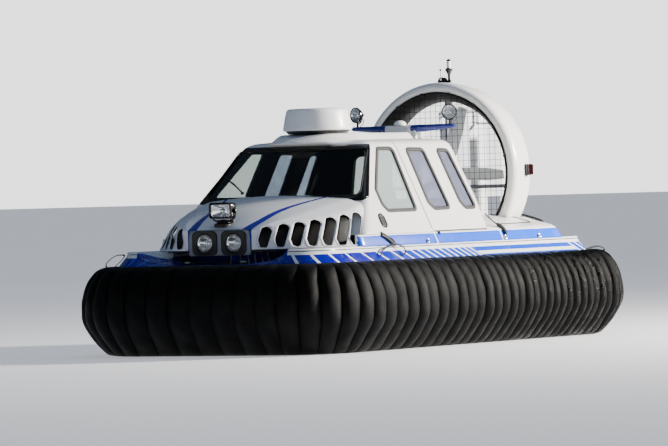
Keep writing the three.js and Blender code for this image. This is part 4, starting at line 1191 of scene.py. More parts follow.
@dataclass
class Deck:
    """Deck moulding: striped band, strake, bow step, light upper band and crowned after deck."""

    band_front: float = -1.33
    band_end_top: float = 1.585
    band_end_low: float = 1.655
    ledge_inner: float = 0.880
    ledge_top: float = 0.8805
    half_width: float = 0.9075
    crown_front: float = 0.56
    well: tuple = (0.33, 0.959, 0.159)
    transom_foot: float = 0.8005
    duct_seat: float = 0.743
    seat_front: float = 1.250
    shaft_z: float = 1.328
    section: tuple = (
        # inset, height
        (0.0400, 0.6562),
        (0.0060, 0.6562),
        (0.0000, 0.6600),
        (-0.0030, 0.6680),
        (-0.0010, 0.6760),
        (0.0030, 0.6830),
        (0.0045, 0.6860),
        (0.0174, 0.7015),
        (0.0303, 0.7170),
        (0.0431, 0.7325),
        (0.0560, 0.7480),
        (0.0575, 0.7505),
        (0.0655, 0.7600),
        (0.0690, 0.7715),
        (0.0735, 0.7730),
        (0.0735, 0.7775),
        (0.0680, 0.7790),
        (0.0700, 0.7850),
        (0.0745, 0.7885),
        (0.0765, 0.7915),
        (0.0800, 0.7922),
        (0.1200, 0.7922),
        (0.3900, 0.7922),
        (0.3900, 0.6562),
    )
    step: tuple = ((0.34, 0.0), (0.456, 0.14), (0.567, 0.28), (0.642, 0.58), (0.694, 1.0))
    lean: tuple = ((0.60, 0.040), (1.25, 0.060), (1.70, 0.090))
    port_slashes: tuple = (
        # length from the bow's middle, each at the foot of its slant
        0.642, 0.802, 0.970, 1.148, 1.375, 1.614, 1.833, 2.040, 2.192, 2.324, 2.428, 2.537, 2.637, 2.739,
        2.836, 2.930, 3.019, 3.103, 3.182, 4.700, 4.790, 4.880,
    )
    starboard_front: tuple = (0.39, 0.525, 0.645, 0.755, 0.88, 1.0)

    def lower(self) -> Surface:
        """The striped band with its rim and the dark joint above it, carried round the hull's outline.

        Heights above the rim shrink in front of the nose, where the step is.
        """
        runs = PLAN.runs(0.0)
        half = np.concatenate([np.linspace(0, 1.1, 220), np.arange(1.1, runs[5], 0.0125)[1:], [runs[5]]])
        half_place = PLAN.place_of(half, 0.0)
        place = np.concatenate([half_place, 10 - half_place[::-1][1:-1]])
        run = np.concatenate([half, half[::-1][1:-1]])
        port = np.concatenate([np.ones(len(half), bool), np.zeros(len(half) - 2, bool)])
        rows = np.array(self.section)
        low, high = rows[6, 1], rows[10, 1]
        xy = PLAN.at(np.broadcast_to(rows[None, :, 0], (len(place), len(rows))), place[:, None])
        step = np.array(self.step)
        lift = np.interp(np.abs(xy[..., 0]), step[:, 0], step[:, 1])
        lift = np.where(xy[..., 1] > -1.6, 1.0, lift)
        z = np.where(rows[None, :, 1] > low, low + (rows[None, :, 1] - low) * lift, rows[None, :, 1])
        points = np.concatenate([xy, z[..., None]], axis=2)
        shape = grid(points, wrap_rows=True, wrap_columns=True)
        rise = np.broadcast_to((rows[None, :, 1] - low) / (high - low), z.shape)
        lean = np.interp(run, *np.array(self.lean).T)
        along = run[:, None] + lean[:, None] * np.clip(rise, -0.5, 1)
        port_side = port[:, None] & np.ones_like(rise, bool)
        # Painted shade: the slashes at the starboard bow are marked pale, to be painted light blue for the
        # shade there.
        front = ~port_side & (run[:, None] < 1.08)
        y = xy[..., 1]
        # Painted shade: the shade tone keeps the band navy towards the bow, where it lies in shade, and
        # lightens it aft.
        tone = np.interp(y, [-2.05, -1.45, -1.0, -0.3, 1.9], [0.0, 0.0, 0.15, 0.52, 0.64])
        # Painted shade: in front of the nose the step lies in the nose's shade, so its rows above the band are
        # painted navy, without slashes on the port side.
        fall = (lift < 0.97) & (y < -1.6)
        rise = np.where(fall & (rise > 1), 0.95, rise)
        gap = np.where(fall & port_side, 1.0, self.gap(along, port_side))
        # Painted shade: the step's top right under the nose is painted black; the thin black line at the
        # strake is the real dark joint between the mouldings.
        shade_under_nose = (lift < 0.05) & (rows[None, :, 1] > low + 0.001) & (y < -1.6)
        black = shade_under_nose | (
            (rows[None, :, 0] > 0.0731) & (rows[None, :, 1] < 0.778) & (rows[None, :, 1] > 0.77)
        )
        shape.values = {
            "gap": gap.ravel(),
            "half": np.where(front, 0.008, 0.014).ravel(),
            "pale": front.astype(float).ravel(),
            "rise": rise.ravel(),
            "along": along.ravel(),
            "tone": tone.ravel(),
            "black": black.astype(float).ravel(),
        }
        return shape.outward()

    def gap(self, along: Array, port: Array) -> Array:
        """Distance along the hull to the nearest slash's middle."""
        results = []
        for marks in (self.port_slashes, self.starboard_front + self.port_slashes[3:]):
            rows = np.array(marks)
            k = np.clip(np.searchsorted(rows, along), 1, len(rows) - 1)
            results.append(np.minimum(np.abs(along - rows[k - 1]), np.abs(along - rows[k])))
        return np.where(port, results[0], results[1])

    def upper(self) -> Surface:
        """The light band beside the cabin: a rounded ledge whose front end draws in to a quarter ellipse."""
        rows = np.array(
            [(0.880, 0.7900), (0.931, 0.7900), (0.934, 0.7945), (0.933, 0.8010), (0.914, 0.8720),
                (0.909, 0.8785), (0.903, 0.8805), (0.880, 0.8805)]
        )
        y = np.concatenate(
            [self.band_front + 0.06 * (1 - np.cos(np.linspace(0, np.pi / 2, 9))),
                np.linspace(self.band_front + 0.08, self.band_end_top, 340)]
        )
        pull = np.sqrt(np.clip(1 - ((self.band_front + 0.06 - y) / 0.06).clip(0, 1) ** 2, 0, 1))
        share = (y - y[0]) / (y[-1] - y[0])
        fall = (self.ledge_top - rows[None, :, 1]) / 0.08
        late = (self.band_end_low - self.band_end_top) * share[:, None] ** 8 * fall
        x = self.ledge_inner + (rows[None, :, 0] - self.ledge_inner) * pull[:, None]
        points = np.stack(
            [x, np.broadcast_to(y[:, None], x.shape) + late, np.broadcast_to(rows[None, :, 1], x.shape)],
            axis=2
        )
        shape = grid(points, wrap_columns=True, caps=True).outward()
        y, z = shape.points[:, 1] - 0.3 * (0.84 - shape.points[:, 2]), shape.points[:, 2]
        shape.values = {
            "gap": np.minimum(np.abs(y + 0.24), np.abs(y - 0.735)),
            "half": np.full(len(y), 0.0095),
            "pale": np.zeros(len(y)),
            "rise": np.where(shape.points[:, 0] > 0.896, (z - 0.7915) / 0.076, -1.0),
            "along": np.zeros(len(y)),
            # Painted shade: the light band's blue is darker towards the front, for the shade there.
            "tone": np.interp(y, [-1.3, 0.0, 1.6], [0.62, 0.84, 0.98]),
            "black": np.zeros(len(y)),
        }
        return gathered([shape, shape.mirrored()])

    def crown(self) -> Surface:
        """The after deck: it falls from the middle to the sides, and the duct's seat cuts into it."""
        well_half_width, well_middle, well_half_length = self.well

        def shape(u: Array, v: Array) -> Array:
            """A share along Y and a share across give a point of the crown."""
            x = v * self.half_width
            y = self.crown_front + u * (self.band_end_top - self.crown_front)
            return np.stack([x, y, crown_height(x)], axis=-1)

        def keep(points: Array) -> Array:
            """Above zero outside the duct's seat and the engine well."""
            seat = np.hypot(points[..., 0], points[..., 2] - self.shaft_z) - self.duct_seat
            seat = np.maximum(seat, self.seat_front - points[..., 1])
            across = np.abs(points[..., 0]) - well_half_width
            well = np.maximum(across, np.abs(points[..., 1] - well_middle) - well_half_length)
            return np.minimum(seat, well)

        return trimmed(shape, np.linspace(0, 1, 86), np.linspace(-1, 1, 150), keep)

    def transom(self) -> Surface:
        """The after deck's rear face, leaning aft towards its foot."""
        x = np.linspace(-self.half_width, self.half_width, 120)
        top = crown_height(x)
        share = np.linspace(0, 1, 8)[:, None]
        z = top[None] * (1 - share) + self.transom_foot * share
        y = self.band_end_top + (
            self.band_end_low - self.band_end_top
        ) * np.clip((self.ledge_top - z) / 0.08, 0, 1)
        face = np.stack([np.broadcast_to(x, z.shape), y, z], axis=2)
        seat = np.hypot(face[..., 0], face[..., 2] - self.shaft_z) < self.duct_seat
        low = self.shaft_z - np.sqrt(np.clip(self.duct_seat**2 - x**2, 0, None))
        face[..., 2] = np.where(
            seat, np.minimum(face[..., 2], np.maximum(low, self.transom_foot)[None]), face[..., 2]
        )
        return grid(face)

    def build(self, shop: Workshop) -> None:
        """Makes the moulding's pieces."""
        shop.piece("deck_band", self.lower(), [BAND_GELCOAT], replaces=["deck_moulding"], smooth=28)
        shop.piece("deck_ledges", self.upper(), [BAND_GELCOAT], smooth=40)
        shop.piece("after_deck", self.crown(), [GELCOAT], wall=0.006, smooth=40)
        shop.piece("after_deck_transom", self.transom(), [GELCOAT], wall=0.006, smooth=40, weld=False)


# Cabin and hood


@dataclass
class CabinForm:
    """The cabin's outer skin, from rings at rising heights."""

    rows: tuple = (
        # height, half width, front corner, front bulge, rear corner, rear bulge
        (0.8806, 0.910, -1.220, 0.150, 0.585, 0.150),
        (1.1500, 0.781, -0.993, 0.152, 0.604, 0.160),
        (1.5300, 0.5975, -0.672, 0.122, 0.565, 0.178),
        (1.5560, 0.583, -0.650, 0.120, 0.562, 0.180),
        (1.5760, 0.565, -0.632, 0.120, 0.552, 0.180),
        (1.5930, 0.530, -0.603, 0.120, 0.534, 0.175),
        (1.6040, 0.450, -0.548, 0.108, 0.488, 0.160),
        (1.6110, 0.290, -0.440, 0.084, 0.385, 0.130),
        (1.6130, 0.100, -0.200, 0.030, 0.150, 0.050),
    )
    front_count: int = 240
    side_count: int = 300
    corner: int = 12

    def __post_init__(self) -> None:
        """Works out the fine table of the skin, from the starboard front corner round by port."""
        rows = np.array(self.rows)
        knots = np.concatenate([[0], np.cumsum(np.hypot(np.diff(rows[:, 0]), np.diff(rows[:, 1])))])
        at = np.concatenate([np.linspace(0, knots[2], 110)[:-1], np.linspace(knots[2], knots[-1], 90)])
        at = np.sort(np.unique(at))
        values = np.stack([np.interp(at, knots, rows[:, k]) for k in range(6)], axis=1)
        upper = curve(knots[2:], rows[2:], at[at >= knots[2]])
        values[at >= knots[2]] = upper
        z, half, front, front_bulge, rear, rear_bulge = (values[:, k, None] for k in range(6))
        s = np.linspace(-1, 1, self.front_count, endpoint=False)[None]
        t = np.linspace(0, 1, self.side_count, endpoint=False)[None]
        ahead = (s * half, front - front_bulge * (1 - s * s))
        port = (half + 0 * t, front + (rear - front) * t)
        back = (-s * half, rear + rear_bulge * (1 - np.abs(s) ** 3))
        starboard = (-half + 0 * t, rear + (front - rear) * t)
        x = np.concatenate([part[0] for part in (ahead, port, back, starboard)], axis=1)
        y = np.concatenate([part[1] for part in (ahead, port, back, starboard)], axis=1)
        ring = np.stack([x, y, np.broadcast_to(z, x.shape)], axis=2)
        ring = soften(ring, self.corner, closed=True)
        ring = soften(ring.transpose(1, 0, 2), 3, closed=False).transpose(1, 0, 2)
        self.skin = Skin(np.concatenate([ring, ring[:, :1]], axis=1))
        self.values = np.array(self.rows)

    def front_at(self, x: Array, z: Array) -> tuple[Array, Array]:
        """Y of the front face and the share of the half width, at X and height."""
        half, front, bulge = (np.interp(z, self.values[:, 0], self.values[:, k]) for k in (1, 2, 3))
        share = np.abs(x) / half
        return front - bulge * (1 - np.minimum(share, 1) ** 2), share

    def grid_shares(self, cell: float = 0.012) -> tuple[Array, Array]:
        """Shares up and round the skin that give cells of about the size asked for."""
        table = self.skin.table
        up = np.linalg.norm(np.diff(table[:, self.front_count + 80], axis=0), axis=1)
        round_ = np.linalg.norm(np.diff(table[60], axis=0), axis=1)
        shares = []
        for steps in (up, round_):
            run = np.concatenate([[0], np.cumsum(steps)])
            at = np.linspace(0, run[-1], int(run[-1] / cell) + 1)
            shares.append(np.interp(at, run, np.linspace(0, 1, len(run))))
        return shares[0], shares[1]


CABIN = CabinForm()

FRONT_WINDOW = Outline(
    [(-0.532, 1.531), (-0.327, 1.529), (-0.364, 1.058), (-0.765, 1.059), (-0.806, 1.105), (-0.806, 1.216)],
    0.030
)
DOOR_WINDOW_A = Outline(
    [(-0.123, 1.522), (0.111, 1.517), (0.129, 1.063), (-0.090, 1.061), (-0.139, 1.105)], 0.030
)
DOOR_WINDOW_B = Outline(
    [(0.320, 1.513), (0.466, 1.506), (0.510, 1.060), (0.362, 1.060), (0.325, 1.110)], 0.030
)
WINDSCREEN = Outline([(-0.716, 1.176), (0.716, 1.176), (0.592, 1.540), (-0.592, 1.540)], 0.035)
WINDSCREEN_BAND = Outline([(-0.792, 1.140), (0.792, 1.140), (0.592, 1.572), (-0.592, 1.572)], 0.030)
REAR_WINDOW = Outline([(-0.470, 1.120), (0.470, 1.120), (0.400, 1.490), (-0.400, 1.490)], 0.060)
DOOR = Outline([(-0.252, 0.889), (0.566, 0.889), (0.566, 2.2), (-0.252, 2.2)], 0.035)
DOOR_HINGE_X = 0.330
DOOR_GAP = 0.006


def side_view(points: Array) -> Array:
    """Y and Z of points."""
    return points[..., 1:]


def front_view(points: Array) -> Array:
    """X and Z of points."""
    return points[..., [0, 2]]


def on_side(points: Array, outline: Outline, side: int) -> Array:
    """How far points lie inside an outline drawn on one side wall, well below zero on any other wall."""
    away = 0.40 - side * points[..., 0]
    return np.where(away > 0, -np.maximum(away, 0.02), outline.inside(side_view(points)))


def on_front(points: Array, outline: Outline, way: int) -> Array:
    """How far points lie inside an outline drawn on the front (way -1) or rear (way 1) wall."""
    if way < 0:
        limit = CABIN.front_at(points[..., 0], points[..., 2])[0] + 0.030 - points[..., 1]
    else:
        limit = points[..., 1] - 0.50
    return np.where(limit < 0, -np.maximum(-limit, 0.02), outline.inside(front_view(points)))


def in_door(points: Array, side: int, grow: float = 0.0) -> Array:
    """How far points lie inside a door's region: the door's outline and outboard of the hinge line."""
    outboard = side * points[..., 0] - DOOR_HINGE_X + grow
    return np.minimum(DOOR.inside(side_view(points)) + grow, outboard)


@dataclass
class Cabin:
    """Cabin shell, doors, glass and seals, all from the same skin."""

    wall: float = 0.032
    cell: float = 0.0155
    glass_inset: float = 0.006
    glass_wall: float = 0.005

    def shell_keep(self, points: Array) -> Array:
        """Above zero on the fixed shell: outside the windows and the doors."""
        level = -on_front(points, WINDSCREEN, -1)
        level = np.minimum(level, -on_front(points, REAR_WINDOW, 1))
        for side in (1, -1):
            level = np.minimum(level, -on_side(points, FRONT_WINDOW, side))
            level = np.minimum(level, -in_door(points, side, DOOR_GAP))
        return level

    def door_keep(self, side: int) -> Callable[[Array], Array]:
        """The distance that keeps one door with its two windows cut."""

        def keep(points: Array) -> Array:
            """Above zero on the door's panel."""
            level = in_door(points, side)
            for window in (DOOR_WINDOW_A, DOOR_WINDOW_B):
                level = np.minimum(level, -on_side(points, window, side))
            return level

        return keep

    def pane(self, level: Callable[[Array], Array]) -> Surface:
        """A sheet of glass under the skin, a little larger than its opening."""
        up, round_ = CABIN.grid_shares(0.02)
        under = CABIN.skin.offset(-self.glass_inset)
        return trimmed(under.at, up, round_, lambda p: level(p) + 0.008)

    def seal(
        self, outline: Outline, wall: int, profile: Array, grow: float = 0.0, lift: float = 0.0
    ) -> Surface:
        """A rubber section laid round a window: the outline is dropped on the skin and a profile follows it.

        Args:
            outline: the window.
            wall: 1 port, -1 starboard, 2 rear, -2 front.
            profile: across and up of the section.
            grow: how far out of the outline its middle runs.
            lift: how far off the skin.

        Returns:
            The closed ring.
        """
        path2 = outline.path(grow, 0.008)
        values = CABIN.values
        if abs(wall) == 1:
            z = path2[:, 1]
            x = wall * np.interp(z, values[:, 0], values[:, 1])
            path = np.stack([x, path2[:, 0], z], axis=1)
            normal = np.array([wall * 1.0, 0.0, 0.482])
            normals = np.broadcast_to(normal / np.linalg.norm(normal), path.shape)
        else:
            x, z = path2[:, 0], path2[:, 1]

            def depth(x: Array, z: Array) -> Array:
                """Y of the end wall."""
                half = np.interp(z, values[:, 0], values[:, 1])
                share = np.abs(x) / half
                if wall < 0:
                    return CABIN.front_at(x, z)[0]
                rear = np.interp(z, values[:, 0], values[:, 4])
                return rear + np.interp(z, values[:, 0], values[:, 5]) * (1 - share**3)

            path = np.stack([x, depth(x, z), z], axis=1)
            dx = (depth(x + 0.002, z) - depth(x - 0.002, z)) / 0.004
            dz = (depth(x, z + 0.002) - depth(x, z - 0.002)) / 0.004
            normals = np.stack([-dx, np.ones(len(x)), -dz], axis=1) * (1 if wall > 0 else -1)
            normals /= np.linalg.norm(normals, axis=1)[:, None]
        return sweep(profile, path + lift * normals, normals, closed=True)

    def build(self, shop: Workshop) -> None:
        """Makes the cabin."""
        up, round_ = CABIN.grid_shares(self.cell)
        shell = trimmed(CABIN.skin.at, up, round_, self.shell_keep)
        shop.piece(
            "cabin_skin", shell, [GELCOAT, TRIM_DARK], replaces=["cabin_shell"], wall=self.wall,
            wall_finish=1, smooth=40
        )
        band_skin = CABIN.skin.offset(0.0025)
        frame_keep = lambda p: np.minimum(on_front(p, WINDSCREEN_BAND, -1), -on_front(p, WINDSCREEN, -1))
        band = trimmed(band_skin.at, up, round_, frame_keep)
        shop.piece("windscreen_band", band, [BLACK_GLOSS], wall=0.004, smooth=40)
        seal_profile = rounded_rectangle(0.030, 0.009, 0.004, 3)
        thin_profile = rounded_rectangle(0.012, 0.007, 0.003, 3)
        shop.piece(
            "windscreen", self.pane(lambda p: on_front(p, WINDSCREEN, -1)), [WINDSCREEN_GLASS],
            wall=self.glass_wall, replaces=["windscreen"]
        )
        shop.piece("windscreen_seal", self.seal(WINDSCREEN, -2, thin_profile, 0.0, 0.002), [RUBBER])
        shop.piece(
            "rear_pane", self.pane(lambda p: on_front(p, REAR_WINDOW, 1)), [GLAZING], wall=self.glass_wall,
            replaces=["rear_window"]
        )
        shop.piece("rear_window_seal", self.seal(REAR_WINDOW, 2, seal_profile, 0.004), [RUBBER])
        for side, name in SIDES:
            door = trimmed(CABIN.skin.at, up, round_, self.door_keep(side))
            body = "door_" + name
            shop.piece(
                "door_panel_" + name, door, [GELCOAT, TRIM_DARK], body=body, replaces=["door_" + name],
                wall=self.wall, wall_finish=1, smooth=40
            )
            panes = (
                ("front_window_" + name, FRONT_WINDOW, GLAZING, "craft"),
                ("door_window_front_" + name, DOOR_WINDOW_A, DOOR_GLASS, body),
                ("door_window_rear_" + name, DOOR_WINDOW_B, DOOR_GLASS, body),
            )
            for node, outline, finish, rides in panes:
                sheet = self.pane(lambda p, o=outline: on_side(p, o, side))
                shop.piece(node + "_pane", sheet, [finish], body=rides, wall=self.glass_wall, replaces=[node])
                ring = self.seal(outline, side, seal_profile, 0.005, 0.0015)
                shop.piece(node + "_seal", ring, [RUBBER], body=rides)


@dataclass
class HoodForm:
    """The hood's skin: stations from the nose aft, each from the middle over the crease to the foot."""

    rows: tuple = (
        # place aft, foot, shoulder, shoulder height, crease, crease height, middle height
        (-1.860, 0.283, 0.279, 0.900, 0.270, 0.943, 0.952),
        (-1.835, 0.400, 0.360, 0.930, 0.275, 0.955, 0.968),
        (-1.775, 0.520, 0.440, 0.955, 0.285, 0.980, 0.996),
        (-1.695, 0.630, 0.520, 0.975, 0.300, 1.010, 1.030),
        (-1.600, 0.730, 0.595, 0.990, 0.312, 1.045, 1.066),
        (-1.490, 0.815, 0.660, 1.008, 0.328, 1.078, 1.100),
        (-1.370, 0.880, 0.715, 1.030, 0.358, 1.110, 1.132),
        (-1.260, 0.915, 0.755, 1.050, 0.398, 1.135, 1.156),
        (-1.160, 0.915, 0.783, 1.075, 0.432, 1.155, 1.180),
        (-0.960, 0.915, 0.782, 1.128, 0.505, 1.197, 1.221),
    )
    foot_z: float = 0.7935

    def __post_init__(self) -> None:
        """Works out the fine table: rows along Y, columns from the port foot over the middle to starboard."""
        rows = np.array(self.rows)
        run = np.concatenate([[0], np.cumsum(np.hypot(np.diff(rows[:, 0]), 0.5 * np.diff(rows[:, 1])))])
        at = np.linspace(0, run[-1], 260)
        y, foot, shoulder, shoulder_z, crease, crease_z, middle_z = curve(run, rows, at).T[:, :, None]
        t = np.linspace(0, 1, 70)[None]
        half_top = np.stack([crease * t, middle_z - (middle_z - crease_z) * t * t], axis=2)
        knee_x, knee_z = (shoulder + crease) / 2 + 0.012, (shoulder_z + crease_z) / 2 + 0.014
        knots_x = np.concatenate([crease, knee_x, shoulder, foot], axis=1)
        knots_z = np.concatenate([crease_z, knee_z, shoulder_z, foot * 0 + self.foot_z], axis=1)
        share = np.linspace(0, 3, 150)
        k = np.clip(share.astype(int), 0, 2)
        f = share - k
        side = np.stack(
            [knots_x[:, k] * (1 - f) + knots_x[:, k + 1] * f,
                knots_z[:, k] * (1 - f) + knots_z[:, k + 1] * f], axis=2
        )
        side = soften(side, 22, closed=False)
        half = np.concatenate([half_top, side[:, 1:]], axis=1)
        full = np.concatenate([half[:, ::-1], (half * np.array([-1.0, 1.0]))[:, 1:]], axis=1)
        table = np.stack([full[..., 0], np.broadcast_to(y, full.shape[:2]), full[..., 1]], axis=2)
        self.skin = Skin(table)
        self.crease_rows = np.column_stack([y[:, 0], crease[:, 0]])


HOOD = HoodForm()


@dataclass
class Hood:
    """Hood with its leaning louvres, their pressed outlines and the stripes."""

    ends: tuple = (
        # upper end of a slot on the port side, then its lower end
        ((0.397, -1.791, 0.961), (0.370, -1.843, 0.807)),
        ((0.494, -1.702, 0.979), (0.491, -1.790, 0.811)),
        ((0.573, -1.610, 0.990), (0.589, -1.722, 0.815)),
        ((0.644, -1.500, 1.004), (0.683, -1.641, 0.815)),
        ((0.707, -1.383, 1.018), (0.765, -1.549, 0.814)),
        ((0.756, -1.265, 1.033), (0.832, -1.454, 0.811)),
        ((0.793, -1.152, 1.045), (0.886, -1.347, 0.811)),
    )
    half_width: float = 0.042
    wall: float = 0.008

    def __post_init__(self) -> None:
        """Works out each slot's middle, its directions and its outline."""
        ends = np.array(self.ends)
        self.middle = ends.mean(axis=1)
        up = ends[:, 0] - ends[:, 1]
        length = np.linalg.norm(up, axis=1)
        self.up = up / length[:, None]
        along = np.gradient(self.middle, axis=0)
        across = along - np.sum(along * self.up, axis=1)[:, None] * self.up
        self.across = across / np.linalg.norm(across, axis=1)[:, None]
        self.out = np.cross(self.across, self.up)
        w = self.half_width
        self.outlines = []
        for h in length / 2:
            corners = [
                (-w, 0.045 - h), (-0.012, -h), (0.028, -h), (w, 0.018 - h), (w, h - 0.022), (0.016, h),
                (-0.016, h), (-w, h - 0.022)
            ]
            self.outlines.append(Outline(corners, 0.012))

    def local(self, points: Array, k: int) -> Array:
        """Points in the directions of slot k: across, up and out."""
        offset = points - self.middle[k]
        return np.stack([offset @ self.across[k], offset @ self.up[k], offset @ self.out[k]], axis=-1)

    def keep(self, points: Array) -> Array:
        """Above zero ahead of the cabin and outside the louvres."""
        limit, share = CABIN.front_at(points[..., 0], points[..., 2])
        limit = limit + 0.075 * smoothstep((share - 0.90) / 0.06)
        level = limit - points[..., 1]
        port = np.concatenate([np.abs(points[..., :1]), points[..., 1:]], axis=-1)
        for k, outline in enumerate(self.outlines):
            place = self.local(port, k)
            near = np.minimum(outline.inside(place[..., :2]), 0.10 - np.abs(place[..., 2]))
            level = np.minimum(level, -near)
        return level

    def on_skin(self, k: int, path: Array, lift: float) -> Array:
        """A path drawn in slot k's plane, laid on the hood.

        The skin's distance from the plane is taken as a low polynomial of both ways in the plane, fitted to
        the skin's own points around the slot.
        """
        near = self.local(HOOD.skin.table.reshape(-1, 3), k)
        reach = np.abs(self.outlines[k].inner).max(axis=0) + 0.05
        near = near[
            (np.abs(near[:, 0]) < reach[0]) & (np.abs(near[:, 1]) < reach[1]) & (np.abs(near[:, 2]) < 0.06)
        ]

        def terms(u: Array, v: Array) -> Array:
            """The powers of both ways, up to the third along the slot."""
            return np.stack([u**0, u, v, u * v, u * u, v * v, v**3], axis=-1)

        weights = np.linalg.lstsq(terms(near[:, 0], near[:, 1]), near[:, 2], rcond=None)[0]
        depth = terms(path[:, 0], path[:, 1]) @ weights + lift
        basis = np.stack([self.across[k], self.up[k], self.out[k]])
        return np.column_stack([path, depth]) @ basis + self.middle[k]

    def build(self, shop: Workshop) -> None:
        """Makes the hood."""
        u = np.linspace(0, 1, 136)
        v = np.linspace(0, 1, 214)
        shape = trimmed(HOOD.skin.at, u, v, self.keep)
        crease = np.interp(shape.points[:, 1], HOOD.crease_rows[:, 0], HOOD.crease_rows[:, 1])
        taper = np.interp(
            shape.points[:, 1], [-1.86, -1.7, -1.5, -1.25, -1.05, -0.99],
            [0.086, 0.066, 0.052, 0.038, 0.020, -0.01]
        )
        shape.values["stripe"] = taper / 2 - np.abs(np.abs(shape.points[:, 0]) - crease + taper / 4)
        # Painted shade: a black sheet under the hood, with the hood's black inner face, stands in for the
        # shade behind the louvres.
        shop.piece(
            "hood_skin", shape, [HOOD_GELCOAT, BLACK_PLASTIC], replaces=["hood"], wall=self.wall,
            wall_finish=1, smooth=32
        )
        behind = lambda p: CABIN.front_at(p[..., 0], p[..., 2])[0] - 0.015 + 0.10 * smoothstep(
            (np.abs(p[..., 0]) - 0.68) / 0.08
        ) - p[..., 1]
        under = Skin(HOOD.skin.table * np.array([0.93, 1.0, 1.0]) + np.array([0.0, 0.012, -0.022]))
        pocket = trimmed(under.at, u[::2], v[::2], behind)
        shop.piece("hood_shade_lining", pocket, [BLACK_PLASTIC], wall=0.003)
        profile = rounded_rectangle(0.005, 0.004, 0.0015, 2)
        rims = []
        for k, outline in enumerate(self.outlines):
            path = self.on_skin(k, outline.path(0.012, 0.010), 0.0005)
            path[:, 2] = np.maximum(path[:, 2], 0.806)
            rims.append(sweep(profile, path, self.out[k], closed=True))
        rims += [rim.mirrored() for rim in rims]
        shop.piece("louvre_outlines", gathered(rims), [SEAM])


@dataclass
class Nose:
    """Nose panel painted grey for the shade it lies in, with two square bezels and round faceted headlights.
    """

    front: float = 1.8625
    lamp_x: float = 0.133
    lamp_z: float = 0.848
    panel: tuple = (
        (-0.283, 0.752), (0.283, 0.752), (0.279, 0.900), (0.270, 0.943), (0.180, 0.9495), (0.0, 0.952),
        (-0.180, 0.9495), (-0.270, 0.943), (-0.279, 0.900),
    )

    def bezel(self) -> Surface:
        """A rounded square frame whose front runs in to a round opening, closed behind."""
        square = lambda less: refined(
            rounded_rectangle(0.227 - 2 * less, 0.186 - 2 * less, 0.044 - less, 11), 96
        )
        whole = square(0.0)
        outer = ((0.0, -0.012), (0.0, 0.0065), (0.0012, 0.0088), (0.0035, 0.0100))
        mouth = (
            (0.0800, 0.0092), (0.0765, 0.0080), (0.0710, 0.0035), (0.0685, 0.0030), (0.0665, 0.0015),
            (0.0665, -0.012),
        )
        rings = [ring_at(square(less), self.front + ahead) for less, ahead in outer]
        rings += [ring_at(round_as(whole, radius), self.front + ahead) for radius, ahead in mouth]
        return stack(rings, wrap=True)

    def reflector(self) -> Surface:
        """A faceted bowl: depth rises as the square of the radius, and every other facet stands proud."""
        radius = np.array([0.010, 0.022, 0.033, 0.044, 0.055, 0.0655])
        angle = np.linspace(0, 2 * np.pi, 24, endpoint=False)
        r, a = np.meshgrid(radius, angle, indexing="ij")
        ripple = 0.0022 * np.where((np.arange(6)[:, None] + np.arange(24)[None]) % 2 == 0, 1, -1)
        ripple[[0, -1]] = 0
        depth = self.front - 0.045 + 0.046 * (r / 0.0655) ** 2 + ripple
        return grid(np.stack([r * np.cos(a), r * np.sin(a), depth], axis=2), wrap_columns=True)

    def build(self, shop: Workshop) -> None:
        """Makes the nose."""
        outline = Outline(self.panel, 0.012)

        def keep(points: Array) -> Array:
            """Above zero on the panel, outside the two lamps."""
            lamps = [
                np.hypot(points[..., 0] - side * self.lamp_x, points[..., 2] - self.lamp_z) - 0.074
                for side in (1, -1)
            ]
            return np.minimum(outline.inside(points[..., [0, 2]]), np.minimum(*lamps))

        def flat(u: Array, v: Array) -> Array:
            """A share across and a share up give a point of the panel's plane."""
            return np.stack([-0.29 + 0.58 * u, np.full(np.shape(u), -self.front), 0.74 + 0.22 * v], axis=-1)

        panel = trimmed(flat, np.linspace(0, 1, 60), np.linspace(0, 1, 24), keep)
        shop.piece("nose_panel", panel, [NOSE_SHADE_GREY], wall=0.016)
        lens = lathe(
            [(0.0, self.front - 0.001), (0.0655, self.front - 0.001), (0.0655, self.front + 0.001),
                (0.058, self.front + 0.0042), (0.040, self.front + 0.0070), (0.0, self.front + 0.0088)], 48
        )
        bulb = lathe(
            [(0.0, self.front - 0.046), (0.013, self.front - 0.044), (0.013, self.front - 0.036),
                (0.0075, self.front - 0.034), (0.0075, self.front - 0.016), (0.0, self.front - 0.012)], 20
        )
        bezels = [facing_bow(self.bezel(), (side * self.lamp_x, 0, self.lamp_z)) for side in (1, -1)]
        shop.piece("nose_bezels", gathered(bezels), [BLACK_PLASTIC], replaces=["headlight_bezels"], smooth=25)
        for side, name in SIDES:
            origin = (side * self.lamp_x, 0, self.lamp_z)
            bowl = facing_bow(self.reflector(), origin)
            node = "headlight_" + name
            shop.piece(node + "_bowl", bowl, [REFLECTOR], replaces=[node], smooth=1, wall=0.0012)
            shop.piece(node + "_lens", facing_bow(lens, origin), [LENS])
            shop.piece(node + "_bulb", facing_bow(bulb, origin), [CHROME], smooth=30)
        rail = tube(
            through([(-0.300, -1.922, 0.6905), (-0.254, -1.922, 0.6975), (0.0, -1.922, 0.6985),
                    (0.254, -1.922, 0.6975), (0.300, -1.922, 0.6905)], 60), 0.0045, 10
        )
        cleats = twin_blocks(0.254, 0.022, (-1.934, -1.910), (0.6985, 0.7115))
        feet = twin_blocks(0.254, 0.012, (-1.932, -1.912), (0.6860, 0.6990))
        shop.piece("bow_rail_bar", gathered([rail] + feet), [BLACK_PLASTIC], replaces=["bow_rail"])
        shop.piece("bow_rail_cleats", gathered(cleats), [ALUMINIUM], bevel=0.004)


